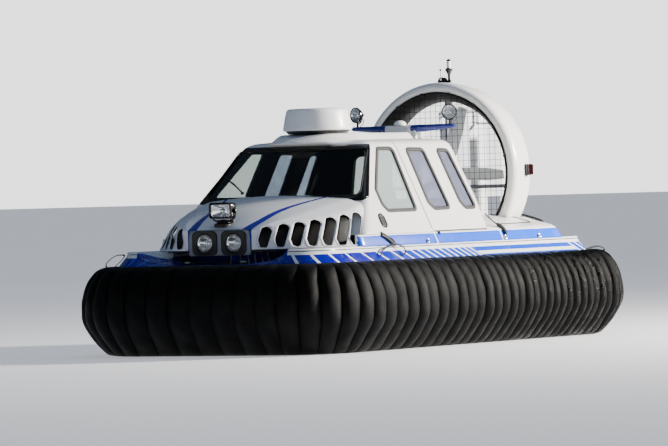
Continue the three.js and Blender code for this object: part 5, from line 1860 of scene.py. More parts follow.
@dataclass
class Searchlight:
    """Remote searchlight on the hood: box housing, rectangular reflector, yoke, knob and turned base."""

    y: float = -1.80
    z: float = 1.093
    housing: tuple = (
        # half width, half height, corner, place ahead
        (0.050, 0.020, 0.010, -0.048),
        (0.086, 0.048, 0.016, -0.044),
        (0.088, 0.050, 0.016, -0.014),
        (0.089, 0.051, 0.016, -0.002),
        (0.092, 0.054, 0.018, 0.001),
        (0.097, 0.059, 0.022, 0.000),
        (0.100, 0.062, 0.024, -0.005),
        (0.100, 0.062, 0.024, -0.060),
        (0.098, 0.060, 0.024, -0.078),
        (0.090, 0.052, 0.022, -0.096),
        (0.070, 0.036, 0.018, -0.106),
    )

    def build(self, shop: Workshop) -> None:
        """Makes the searchlight."""
        front = -self.y + 0.050
        box = lambda w, h, r, depth: ring_at(rounded_rectangle(2 * w, 2 * h, r, 7), front + depth)
        rings = [box(*row) for row in self.housing]
        origin = (0, 0, self.z)
        housing = facing_bow(stack(rings), origin)
        shop.piece("searchlight_housing", housing, [BLACK_GLOSS], replaces=["searchlight_head"], smooth=40)
        steps = np.linspace(0, 1, 9)
        bowl = [
            ring_at(rounded_rectangle(2 * (0.016 + 0.068 * t), 2 * (0.012 + 0.034 * t), 0.010 + 0.004 * t, 5),
                front - 0.042 + 0.028 * t * t) for t in steps
        ]
        reflector = facing_bow(grid(np.stack(bowl), wrap_columns=True), origin)
        shop.piece("searchlight_bowl", reflector, [REFLECTOR], wall=0.001, smooth=12)
        bulb = facing_bow(
            lathe([(0, front - 0.046), (0.014, front - 0.044), (0.016, front - 0.030), (0.008, front - 0.024),
                    (0, front - 0.023)], 20), origin
        )
        shop.piece("searchlight_bulb", bulb, [CHROME])
        pane = facing_bow(
            stack([box(0.087, 0.049, 0.015, -0.0105), box(0.087, 0.049, 0.015, -0.0075)]), origin
        )
        shop.piece("searchlight_glass", pane, [LENS], smooth=30)
        y = self.y + 0.002
        yoke = through(
            [(-0.1055, y, self.z + 0.020), (-0.1055, y, self.z - 0.045), (-0.088, y, 1.024), (0.0, y, 1.020),
                (0.088, y, 1.024), (0.1055, y, self.z - 0.045), (0.1055, y, self.z + 0.020)], 60
        )
        parts = [tube(yoke, 0.0065, 10)]
        for side in (1, -1):
            knob = lathe([(0, 0), (0.017, 0), (0.019, 0.004), (0.019, 0.014), (0.015, 0.018), (0, 0.019)], 12)
            parts.append(knob.placed((0, 1, 0), (0, 0, side), (side, 0, 0), (side * 0.104, y, self.z)))
        lever = lathe([(0, 0), (0.012, 0), (0.014, 0.006), (0.014, 0.030), (0.010, 0.036), (0, 0.037)], 12)
        parts.append(facing_port(lever, (0.062, y, 1.014)))
        shop.piece("searchlight_yoke", gathered(parts), [BLACK_PLASTIC])
        base = lathe(
            [(0, 0.968), (0.070, 0.968), (0.070, 0.990), (0.064, 0.996), (0.050, 0.999), (0.047, 1.012),
                (0.036, 1.017), (0, 1.018)], 36
        )
        shop.piece(
            "searchlight_foot", base.moved((0, self.y, 0)), [BLACK_PLASTIC], replaces=["searchlight_base"],
            smooth=30
        )
        screw = facing_port(lathe([(0, 0), (0.0045, 0), (0.0045, 0.002), (0, 0.0026)], 10), (0.099, y, 1.014))
        shop.piece("searchlight_screws", screw, [CHROME])


# Roof


@dataclass
class Roof:
    """What stands on the roof: fairing, radome, light bar with two lamps, and the small aerial dome."""

    radome_y: float = -0.457
    fairing: tuple = (
        # place aft, half width at the top, half width at the foot, height
        (-0.840, 0.030, 0.090, 1.611),
        (-0.760, 0.130, 0.240, 1.636),
        (-0.660, 0.205, 0.330, 1.656),
        (-0.457, 0.250, 0.375, 1.6635),
        (-0.290, 0.238, 0.314, 1.6635),
        (0.150, 0.205, 0.300, 1.664),
        (0.600, 0.160, 0.240, 1.664),
    )
    bar_half: float = 0.483
    lamp: tuple = (0.437, 0.802, 1.815)
    toe_out: float = 15.0

    def ridge(self) -> Surface:
        """The fairing: flat on top, falling to the roof as a smooth step, closed below."""
        rows = np.array(self.fairing)
        y = np.linspace(rows[0, 0], rows[-1, 0], 70)
        top, foot, z = curve(rows[:, 0], rows[:, 1:], y).T[:, :, None]
        t = np.concatenate([np.linspace(0, 1, 8), np.linspace(1, 2, 16)[1:]])[None]
        x = np.where(t <= 1, top * t, top + (foot - top) * (t - 1))
        fall = smoothstep(np.clip(t - 1, 0, 1))
        height = z - (z - 1.598) * fall
        half = np.stack([x, np.broadcast_to(y[:, None], x.shape), height], axis=2)
        other = half[:, ::-1][:, :-1] * np.array([-1.0, 1.0, 1.0])
        over = np.concatenate([other, half], axis=1)
        under = over[:, ::-1].copy()
        under[..., 2] = 1.585
        return stack(list(np.concatenate([over, under], axis=1)))

    def wing(self) -> Surface:
        """The bar: a flat section that thins and sweeps towards both tips, its middle in its own finish."""
        x = np.concatenate(
            [np.linspace(-self.bar_half, -0.12, 22), np.linspace(-0.12, 0.12, 5)[1:-1],
                np.linspace(0.12, self.bar_half, 22)]
        )
        share = np.clip((np.abs(x) - 0.10) / (self.bar_half - 0.10), 0, 1)
        end = np.sqrt(np.clip(1 - np.clip((np.abs(x) - self.bar_half + 0.012) / 0.012, 0, 1) ** 2, 0.25, 1))
        middle = 0.756 + 0.034 * share
        chord = (0.050 - 0.028 * share) * (0.6 + 0.4 * end)
        depth = 0.0305 - 0.0140 * share**1.3
        height = 1.7215 - depth
        thick = depth * end
        a = np.linspace(0, 2 * np.pi, 28, endpoint=False)
        c, s = np.cos(a), np.sin(a)
        across = np.sign(c) * np.abs(c) ** 0.7
        up = np.sign(s) * np.abs(s) ** 0.6
        points = np.stack(
            [np.broadcast_to(x[:, None], (len(x), 28)), middle[:, None] + chord[:, None] * across,
                height[:, None] + thick[:, None] * up], axis=2
        )
        shape = grid(points, wrap_columns=True, caps=True)
        sides = shape.faces[0][0]
        centre = np.abs(shape.points[sides][..., 0].mean(axis=1)) < 0.12
        shape.faces = [(sides[centre], 1), (sides[~centre], 0)] + shape.faces[1:]
        return shape.outward()

    def lamp_parts(self, side: int) -> dict[str, Surface]:
        """The parts of one spot lamp, drawn about its own axis and then turned out."""
        x, y, z = self.lamp
        turn = math.radians(self.toe_out) * side
        ahead = (math.sin(turn), -math.cos(turn), 0.0)
        across = (math.cos(turn), math.sin(turn), 0.0)
        shell = lathe(
            [(0.0, -0.040), (0.026, -0.036), (0.048, -0.016), (0.058, 0.006), (0.0635, 0.010),
                (0.0635, 0.024), (0.0600, 0.027), (0.0560, 0.024), (0.0545, 0.008), (0.044, -0.012),
                (0.022, -0.030), (0.0, -0.034)], 48
        )
        angle = np.linspace(0, 2 * np.pi, 32, endpoint=False)
        radius = np.array([0.008, 0.020, 0.032, 0.044, 0.0540])
        r, a = np.meshgrid(radius, angle, indexing="ij")
        ripple = 0.0014 * np.where(np.arange(32)[None] % 2 == 0, 1, -1) * np.array([0, 1, 1, 1, 0])[:, None]
        bowl = grid(
            np.stack([r * np.cos(a), r * np.sin(a), -0.026 + 0.044 * (r / 0.054) ** 2 + ripple], axis=2),
            wrap_columns=True
        )
        glass = lathe([(0.0, 0.019), (0.0555, 0.019), (0.0555, 0.021), (0.034, 0.0265), (0.0, 0.0285)], 40)
        bulb = lathe([(0.0, -0.028), (0.012, -0.026), (0.012, -0.006), (0.006, 0.0), (0.0, 0.001)], 16)
        hub = lathe([(0.0, -0.062), (0.012, -0.062), (0.015, -0.056), (0.015, -0.040), (0.0, -0.038)], 16)
        parts = {"can": gathered([shell, hub]), "bowl": bowl, "glass": glass, "bulb": bulb}
        origin = (side * x, y, z)
        return {name: part.placed(across, (0, 0, 1), ahead, origin) for name, part in parts.items()}

    def build(self, shop: Workshop) -> None:
        """Makes the roof's fittings."""
        shop.piece("roof_ridge", self.ridge(), [GELCOAT], replaces=["roof_fairing"], smooth=50)
        tray = lathe(
            [(0.0, 1.664), (0.224, 1.664), (0.231, 1.667), (0.250, 1.684), (0.2515, 1.6885), (0.0, 1.6885)],
            96
        )
        shop.piece("radome_tray", tray.moved((0, self.radome_y, 0)), [BLACK_GLOSS], smooth=25)
        dome = lathe(
            [(0.0, 1.6890), (0.256, 1.6890), (0.2655, 1.6915), (0.2698, 1.697), (0.2700, 1.703),
                (0.2668, 1.722), (0.2610, 1.755), (0.2520, 1.800), (0.2430, 1.836), (0.2375, 1.850),
                (0.229, 1.858), (0.215, 1.8615), (0.150, 1.8645), (0.070, 1.866), (0.0, 1.8665)], 120
        )
        shop.piece(
            "radome_dome", dome.moved((0, self.radome_y, 0)), [DOME_WHITE], replaces=["radome"], smooth=30
        )
        latches = []
        for angle in (200, 290, 20, 110):
            a = math.radians(angle)
            away, side = (math.cos(a), math.sin(a), 0.0), (-math.sin(a), math.cos(a), 0.0)
            clip = block((-0.004, 0.003), (-0.012, 0.012), (-0.020, 0.018))
            latches.append(
                clip.placed(away, side, (0, 0, 1),
                    (0.2662 * away[0], self.radome_y + 0.2662 * away[1], 1.718))
            )
        shop.piece("radome_clips", gathered(latches), [DOME_WHITE], bevel=0.002)
        shop.piece("light_bar_wing", self.wing(), [BAR_BLUE, BAR_WHITE], replaces=["light_bar"], smooth=50)
        side_outline = np.array(
            [(0.648, 1.600), (0.690, 1.655), (0.704, 1.690), (0.708, 1.716), (0.804, 1.716), (0.806, 1.700),
                (0.800, 1.600)]
        )
        post = facing_port(prism(side_outline, -0.098, 0.098))
        shop.piece("light_bar_post", post, [BAR_WHITE], bevel=0.008, bevel_steps=3)
        legs = twin_blocks(0.140, 0.022, (0.716, 0.758), (1.595, 1.684))
        shop.piece("light_bar_legs", gathered(legs), [RUDDER_GREY], slot="frame_aluminium", bevel=0.006)
        dome = lathe(
            [(0.0, 1.7225), (0.049, 1.7225), (0.050, 1.727), (0.0492, 1.7335), (0.0455, 1.7425),
                (0.036, 1.752), (0.020, 1.758), (0.0, 1.760)], 48
        )
        shop.piece("aerial_dome", dome.moved((0, 0.748, 0)), [DOME_WHITE], replaces=["gps_dome"], smooth=40)
        finishes = {"can": BLACK_GLOSS, "bowl": REFLECTOR, "glass": LENS, "bulb": CHROME}
        for side, name in SIDES:
            for part, shape in self.lamp_parts(side).items():
                wall = 0.001 if part == "bowl" else 0.0
                swap = ["bar_lamp_" + name] if part == "can" else ()
                shop.piece(
                    f"bar_lamp_{name}_{part}", shape, [finishes[part]], replaces=swap, wall=wall,
                    smooth=4 if part == "bowl" else 35
                )
            x, y, z = self.lamp
            stem = rod((side * x, y, 1.708), (side * x, y, z - 0.060), 0.0095, 14)
            foot = lathe(
                [(0, 1.706), (0.022, 1.706), (0.022, 1.714), (0.014, 1.720), (0, 1.720)], 20
            ).moved((side * x, y, 0))
            yoke = through(
                [(side * x - 0.0, y + 0.056, z), (side * x, y + 0.060, z - 0.035),
                    (side * x, y + 0.035, z - 0.062), (side * x, y, z - 0.066)], 20
            )
            cable = through(
                [(side * x, y + 0.060, z - 0.01), (side * x + 0.004, y + 0.085, z - 0.05),
                    (side * x, y + 0.030, 1.716)], 20
            )
            shop.piece(
                f"bar_lamp_{name}_stem", gathered([stem, foot, tube(yoke, 0.0075), tube(cable, 0.0035, 8)]),
                [BLACK_PLASTIC]
            )


# Interior


@dataclass(frozen=True)
class Pad:
    """Start form of one padded piece: size across, along and up, its place, and how it leans."""

    name: str
    size: tuple[float, float, float]
    place: tuple[float, float, float]
    lean: float = 0.0
    channels: int = 3
    corner: float = 0.06
    waist: float = 0.012

    def start(self) -> Surface:
        """A closed form: rings shrink by a quarter circle at both faces, sides draw in between corners."""
        width, length, height = self.size
        rings = []
        edge = 0.45 * height
        for t in np.linspace(0, np.pi, 13):
            up = height / 2 - math.cos(t) * height / 2
            inset = edge * (1 - math.sin(t)) * 0.8
            ring = rounded_rectangle(width - 2 * inset, length - 2 * inset, self.corner, 8)
            share = np.abs(ring / np.array([width / 2, length / 2]))
            pull = self.waist * (1 - np.minimum(share.min(axis=1) * 1.2, 1) ** 2)
            ring = ring * (1 - pull[:, None] / np.array([width / 2, length / 2]))
            rings.append(ring_at(ring, up))
        a = math.radians(self.lean)
        return stack(rings).placed(
            (1, 0, 0), (0, math.cos(a), math.sin(a)), (0, -math.sin(a), math.cos(a)), self.place
        )

    @property
    def up(self) -> Array:
        """The direction that the crowned face looks to."""
        a = math.radians(self.lean)
        return np.array([0.0, -math.sin(a), math.cos(a)])

    @property
    def along(self) -> Array:
        """The direction of the pad's length."""
        a = math.radians(self.lean)
        return np.array([0.0, math.cos(a), math.sin(a)])


@dataclass
class Interior:
    """Two front seats, the rear bench, the dashboard and the steering bar."""

    voxel: float = 0.012
    cap: float = 0.022
    seat_x: float = 0.290
    floor: float = 0.401
    pads: tuple = (
        Pad("seat_cushion", (0.450, 0.460, 0.105), (0.290, -0.325, 0.528), channels=4),
        Pad("seat_back", (0.420, 0.500, 0.090), (0.290, -0.072, 0.868), lean=81, channels=5, corner=0.09),
        Pad("bench_cushion", (1.100, 0.235, 0.100), (0.0, 0.318, 0.552), channels=3),
        Pad("bench_back", (1.060, 0.430, 0.060), (0.0, 0.436, 0.852), lean=82, channels=4),
    )

    def inflate(self, pad: Pad) -> Surface:
        """The pad remeshed in even cells, then blown up as cloth, and no point moved further than the cap.

        Points near the underside hardly move, so the pad stays flat where it rests.
        """
        shape = pad.start()
        mesh = bpy.data.meshes.new(pad.name + "_start")
        faces = [face for part, _ in shape.faces for face in part.tolist()]
        mesh.from_pydata(shape.points.tolist(), [], faces)
        work = bpy.data.objects.new(pad.name + "_start", mesh)
        bpy.context.scene.collection.objects.link(work)
        remesh = work.modifiers.new("cells", "REMESH")
        remesh.mode = "VOXEL"
        remesh.voxel_size = self.voxel
        start = self.read(work)
        work.modifiers.clear()
        mesh.clear_geometry()
        mesh.from_pydata(
            start.points.tolist(), [], [face for part, _ in start.faces for face in part.tolist()]
        )
        end = start.points
        cloth = work.modifiers.new("cloth", "CLOTH")
        cloth.settings.use_pressure = True
        cloth.settings.uniform_pressure_force = 4.0
        cloth.settings.effector_weights.gravity = 0.0
        cloth.settings.quality = 5
        cloth.settings.tension_stiffness = 25.0
        cloth.settings.compression_stiffness = 25.0
        cloth.point_cache.frame_start = 1
        cloth.point_cache.frame_end = 20
        for step in range(1, 21):
            bpy.context.scene.frame_set(step)
        end = self.read(work).points
        bpy.context.scene.frame_set(1)
        bpy.data.objects.remove(work)
        moved = end - start.points
        length = np.linalg.norm(moved, axis=1)
        low = (start.points - np.array(pad.place)) @ pad.up
        held = smoothstep(low / (0.4 * pad.size[2]))
        moved *= (np.minimum(1, self.cap / np.maximum(length, 1e-9)) * held)[:, None]
        points = start.points + moved
        return replace(start, points=self.sewn(pad, points))

    def sewn(self, pad: Pad, points: Array) -> Array:
        """Presses sewn channels into the crowned face: a bell-shaped groove at each line, swollen between."""
        offset = points - np.array(pad.place)
        along, up = offset @ pad.along, offset @ pad.up
        width, length, height = pad.size
        step = length / pad.channels
        near = np.abs((along / step + 0.5 * pad.channels + 0.5) % 1 - 0.5) * step
        inner = smoothstep((0.44 * length - np.abs(along)) / 0.03) * smoothstep(
            (0.46 * width - np.abs(offset[:, 0])) / 0.04
        )
        groove = 0.011 * np.exp(-((near / 0.009) ** 2)) * smoothstep(up / height - 0.3) * inner
        crown = 0.004 * (1 - np.exp(-((near / 0.022) ** 2))) * smoothstep(up / height - 0.3) * inner
        return points + (crown - groove)[:, None] * pad.up

    def read(self, work: bpy.types.Object) -> Surface:
        """An object's mesh with its modifiers, as a surface."""
        graph = bpy.context.evaluated_depsgraph_get()
        mesh = work.evaluated_get(graph).data
        points = np.empty(len(mesh.vertices) * 3)
        mesh.vertices.foreach_get("co", points)
        loops = np.empty(len(mesh.loops), np.int64)
        mesh.loops.foreach_get("vertex_index", loops)
        sizes = np.empty(len(mesh.polygons), np.int64)
        mesh.polygons.foreach_get("loop_total", sizes)
        starts = np.cumsum(sizes) - sizes
        faces = [(loops[starts[sizes == n][:, None] + np.arange(n)], 0) for n in np.unique(sizes)]
        return Surface(points.reshape(-1, 3), faces)

    def piping(self, pad: Pad) -> Surface:
        """A welt round the crowned face's edge."""
        width, length, height = pad.size
        ring = rounded_rectangle(width + 0.004, length + 0.004, pad.corner, 10)
        path = ring[:, :1] * np.array(
            [1.0, 0, 0]
        ) + ring[:, 1:] * pad.along + 0.60 * height * pad.up + np.array(pad.place)
        return tube(path, 0.0045, 8, closed=True)

    def build(self, shop: Workshop) -> None:
        """Makes the interior."""
        shapes = {pad.name: (self.inflate(pad), self.piping(pad)) for pad in self.pads}
        box = lambda ring, z, y: np.column_stack([ring[:, 0], ring[:, 1] + y, np.full(len(ring), z)])
        base = stack(
            [box(rounded_rectangle(w, d, 0.05, 6), z, y)
                for w, d, z, y in ((0.40, 0.40, self.floor, -0.31), (0.40, 0.40, 0.455, -0.31),
                    (0.455, 0.475, 0.500, -0.322), (0.455, 0.475, 0.535, -0.322))]
        )
        lean = math.radians(81)
        shell = stack(
            [ring_at(rounded_rectangle(w, h, 0.09, 8), d)
                for w, h, d in ((0.30, 0.38, -0.036), (0.400, 0.485, -0.022), (0.425, 0.505, 0.000),
                    (0.425, 0.505, 0.018))]
        )
        shell = shell.placed(
            (1, 0, 0), (0, math.cos(lean), math.sin(lean)), (0, -math.sin(lean), math.cos(lean)),
            (0, -0.062, 0.868)
        )
        hinge = twin_blocks(0.205, 0.012, (-0.14, -0.03), (0.500, 0.665))
        for side, name in SIDES:
            frame_parts = gathered([base, shell] + hinge).moved((side * self.seat_x, 0, 0))
            shop.piece(
                f"seat_{name}_shell", frame_parts, [BLACK_PLASTIC], replaces=["seat_" + name], bevel=0.004
            )
            for part in ("seat_cushion", "seat_back"):
                pad, seam = shapes[part]
                shift = (0.0 if side > 0 else -2 * self.seat_x, 0, 0)
                self.padded(shop, f"{part}_{name}", pad.moved(shift))
                shop.piece(f"{part}_{name}_welt", seam.moved(shift), [PIPING])
        bench = gathered(
            [block((-0.555, 0.555), (0.202, 0.438), (self.floor, 0.556)),
                block((-0.535, 0.535), (0.442, 0.458), (0.60, 1.02))]
        )
        shop.piece("bench_frame", bench, [BLACK_PLASTIC], replaces=["rear_bench"], bevel=0.012, bevel_steps=3)
        for part in ("bench_cushion", "bench_back"):
            pad, seam = shapes[part]
            self.padded(shop, part, pad)
            shop.piece(part + "_welt", seam, [PIPING])
        self.dashboard(shop)
        self.steering(shop)

    def padded(self, shop: Workshop, name: str, shape: Surface) -> None:
        piece = shop.piece(name, shape, [UPHOLSTERY], divide=1, smooth=180, weld=False)

    def dashboard(self, shop: Workshop) -> None:
        """A dashboard from one section carried across, with an instrument pod, three gauges and a screen."""
        section = np.array(
            [(-0.940, 0.906), (-0.822, 0.906), (-0.783, 0.962), (-0.800, 1.084), (-0.812, 1.100),
                (-0.868, 1.118), (-0.905, 1.114), (-0.955, 1.099), (-0.958, 1.080)]
        )
        body = facing_port(prism(section, -0.638, 0.638))
        shop.piece(
            "dashboard_body", body, [BLACK_PLASTIC], replaces=["dashboard"], bevel=0.010, bevel_steps=3,
            smooth=20
        )
        aft = ((1, 0, 0), (0, -0.14, 0.99), (0, 0.99, 0.14))
        pods, rims, faces = [], [], []
        for x, r in ((0.19, 0.030), (0.28, 0.042), (0.37, 0.030)):
            origin = (x, -0.799, 1.045)
            rims.append(
                lathe([(r, 0), (r + 0.005, 0), (r + 0.005, 0.006), (r, 0.006), (r, 0)], 32).placed(*aft,
                    origin)
            )
            faces.append(lathe([(0, 0.0005), (r, 0.0005), (r, 0.0025), (0, 0.0025)], 32).placed(*aft, origin))
        screen = prism(rounded_rectangle(0.24, 0.105, 0.008), 0.0, 0.012).placed(*aft, (-0.02, -0.795, 1.032))
        pods.append(screen)
        shop.piece("dashboard_screen", gathered(pods), [BLACK_GLOSS], bevel=0.002)
        shop.piece("dashboard_gauge_rims", gathered(rims), [CHROME])
        shop.piece("dashboard_gauges", gathered(faces), [SEAM], slot="black_plastic")

    def steering(self, shop: Workshop) -> None:
        """The column and the bar with its two grips."""
        body = "steering"
        foot, head = (0.280, -0.7875, 1.0055), (0.280, -0.690, 1.040)
        bar = through(
            [(0.145, -0.690, 1.040), (0.200, -0.690, 1.040), (0.280, -0.690, 1.040), (0.360, -0.690, 1.040),
                (0.415, -0.690, 1.040)], 30
        )
        clamp = lathe(
            [(0, -0.012), (0.022, -0.012), (0.024, 0.0), (0.022, 0.012), (0, 0.012)], 20
        ).moved(head)
        grips = [
            rod((0.130, -0.690, 1.040), (0.205, -0.690, 1.040), 0.0150, 16),
            rod((0.355, -0.690, 1.040), (0.430, -0.690, 1.040), 0.0150, 16)
        ]
        shop.piece(
            "steering_column", gathered([rod(foot, head, 0.0155, 20), tube(bar, 0.0115), clamp]),
            [BLACK_GLOSS], body=body, replaces=["steering_bar"]
        )
        shop.piece("steering_grips", gathered(grips), [RUBBER], body=body, bevel=0.003)


# Duct


@dataclass
class Duct:
    """The duct, turned from a smooth profile, white outside, painted dark inside for the shade within, with
    its fittings.
    """

    shaft_z: float = 1.328
    guard_radius: float = 0.650
    guard_y: float = 1.292
    mesh_pitch: float = 0.050
    wire: float = 0.0019
    profile: tuple = (
        # radius, place aft; the inner wall first, then the lip and the outer wall
        (0.5995, 1.558),
        (0.588, 1.530),
        (0.580, 1.490),
        (0.580, 1.420),
        (0.5845, 1.392),
        (0.597, 1.362),
        (0.622, 1.328),
        (0.648, 1.305),
        (0.668, 1.289),
        (0.690, 1.281),
        (0.710, 1.287),
        (0.726, 1.305),
        (0.7345, 1.332),
        (0.7350, 1.365),
        (0.7300, 1.430),
        (0.7210, 1.500),
        (0.709, 1.558),
    )

    def build(self, shop: Workshop) -> None:
        """Makes the duct."""
        rows = np.array(self.profile)
        knots = run_along(rows)
        fine = curve(knots, rows, np.linspace(0, knots[-1], 70))
        ring = np.concatenate([fine, fine[:1]])
        shape = lathe([(r, y) for r, y in ring], 160)
        middle = shape.points[shape.faces[0][0]].mean(axis=1)
        radius = np.hypot(middle[:, 0], middle[:, 1])
        # Painted shade: faces inside the lip take the dark inside finish.
        inside = (radius < 0.655) & (middle[:, 2] < 1.557)
        faces = shape.faces[0][0]
        shape.faces = [(faces[~inside], 0), (faces[inside], 1)]
        shape = shape.placed((1, 0, 0), (0, 0, -1), (0, 1, 0), (0, 0, self.shaft_z))
        shape = shape if shape.volume() > 0 else shape.turned()
        shop.piece("duct_ring", shape, [GELCOAT, DUCT_INSIDE_SHADE], replaces=["duct"], smooth=40)
        self.guard(shop)
        self.lights(shop)

    def round_at(self, radius: float, y: float, angles: Array) -> Array:
        """Points on a circle about the shaft."""
        return np.stack(
            [radius * np.cos(angles), np.full(len(angles), y), self.shaft_z + radius * np.sin(angles)], axis=1
        )

    def guard(self, shop: Workshop) -> None:
        """Inlet guard: crossed wires at even pitch, their ends on a ring that clips hold to the lip."""
        wires = []
        reach = self.guard_radius
        for k in range(-12, 13):
            offset = k * self.mesh_pitch
            half = math.sqrt(reach**2 - offset**2)
            wires.append(
                rod((offset, self.guard_y - self.wire, self.shaft_z - half),
                    (offset, self.guard_y - self.wire, self.shaft_z + half), self.wire, 6)
            )
            wires.append(
                rod((-half, self.guard_y + self.wire, self.shaft_z + offset),
                    (half, self.guard_y + self.wire, self.shaft_z + offset), self.wire, 6)
            )
        angles = np.linspace(0, 2 * np.pi, 120, endpoint=False)
        ring = sweep(circle(0.0085, 12), self.round_at(reach, self.guard_y, angles), (0, 1, 0), closed=True)
        shop.piece(
            "inlet_guard_mesh", gathered(wires + [ring]), [WIRE_STEEL], replaces=["inlet_guard"], weld=False
        )
        clips = []
        for a in np.radians(np.arange(11.25, 360, 22.5)):
            out, side = (math.cos(a), 0.0, math.sin(a)), (-math.sin(a), 0.0, math.cos(a))
            clip = block((-0.012, 0.013), (-0.009, 0.009), (-0.009, 0.012))
            clips.append(
                clip.placed(out, (0, 1, 0), side, self.round_at(reach, self.guard_y, np.array([a]))[0])
            )
        clips = [clip.outward() for clip in clips]
        shop.piece("inlet_guard_clips", gathered(clips), [BLACK_PLASTIC], bevel=0.002)
        seam = sweep(
            rounded_rectangle(0.010, 0.004, 0.0015, 2), self.round_at(0.5805, 1.452, angles),
            -1 * (self.round_at(1.0, 0.0, angles) - np.array([0, 0, self.shaft_z])), closed=True
        )
        shop.piece("duct_wear_band", seam, [ALUMINIUM])

    def lights(self, shop: Workshop) -> None:
        """Masthead light and stern light on the duct's crown, and the side lights' housings."""
        y = 1.400
        mast = (0.069, y, 0)
        foot = lathe(
            [(0, 2.0595), (0.019, 2.0595), (0.020, 2.066), (0.016, 2.078), (0.0095, 2.086), (0.0095, 2.128),
                (0, 2.128)], 24
        ).moved(mast)
        cup = lathe(
            [(0, 2.124), (0.012, 2.124), (0.015, 2.134), (0.029, 2.160), (0.0305, 2.170), (0.0295, 2.176),
                (0, 2.176)], 32
        ).moved(mast)
        shop.piece("masthead_cup", gathered([foot, cup]), [BLACK_GLOSS], replaces=["masthead_light"])
        lens = lathe(
            [(0, 2.1765), (0.0165, 2.1765), (0.0175, 2.182), (0.0175, 2.226), (0.0160, 2.232), (0, 2.2335)],
            28
        ).moved(mast)
        shop.piece("masthead_lens", lens, [DOME_WHITE], smooth=40)
        cap = lathe(
            [(0, 2.234), (0.0185, 2.234), (0.0190, 2.239), (0.0150, 2.247), (0, 2.2525)], 28
        ).moved(mast)
        shop.piece("masthead_cap", cap, [BLACK_GLOSS])
        outline = np.array(
            [(-0.028, 2.0615), (0.044, 2.0595), (0.036, 2.088), (0.022, 2.104), (-0.006, 2.106),
                (-0.021, 2.090)]
        )
        base = prism(outline, -0.026, 0.026).placed((1, 0, 0), (0, 0, 1), (0, -1, 0), (0, y, 0)).outward()
        rim = lathe([(0, 0.0), (0.010, 0.0), (0.010, 0.004), (0, 0.006)], 20).placed(
            (1, 0, 0), (0, 0, 1), (0, -1, 0), (0.006, y - 0.026, 2.089)
        )
        shop.piece(
            "stern_light_base", base, [BLACK_GLOSS], replaces=["stern_light"], bevel=0.004, bevel_steps=3
        )
        shop.piece("stern_light_lens", rim.outward(), [DOME_WHITE])
        rods = [
            rod((-0.012, y, 2.104), (-0.012, y, 2.158), 0.0022, 8),
            lathe([(0, 2.154), (0.006, 2.158), (0.0085, 2.165), (0.006, 2.172), (0, 2.1755)],
                16).moved((-0.012, y, 0))
        ]
        shop.piece("stern_light_whip", gathered(rods), [BLACK_GLOSS])
        for side, name in SIDES:
            housing = block((0.7255, 0.7700), (1.4560, 1.5140), (1.2975, 1.3825))
            shell = block((0.7245, 0.7500), (1.4530, 1.5165), (1.2945, 1.3855))
            housing, shell = (shape if side > 0 else shape.mirrored() for shape in (housing, shell))
            tint = LENS_RED if side > 0 else LENS_GREEN
            shop.piece(
                f"side_light_{name}_lens", housing, [tint], replaces=["side_light_" + name], bevel=0.005,
                bevel_steps=3
            )
            shop.piece(f"side_light_{name}_back", shell, [BLACK_GLOSS], bevel=0.003)


# Fittings


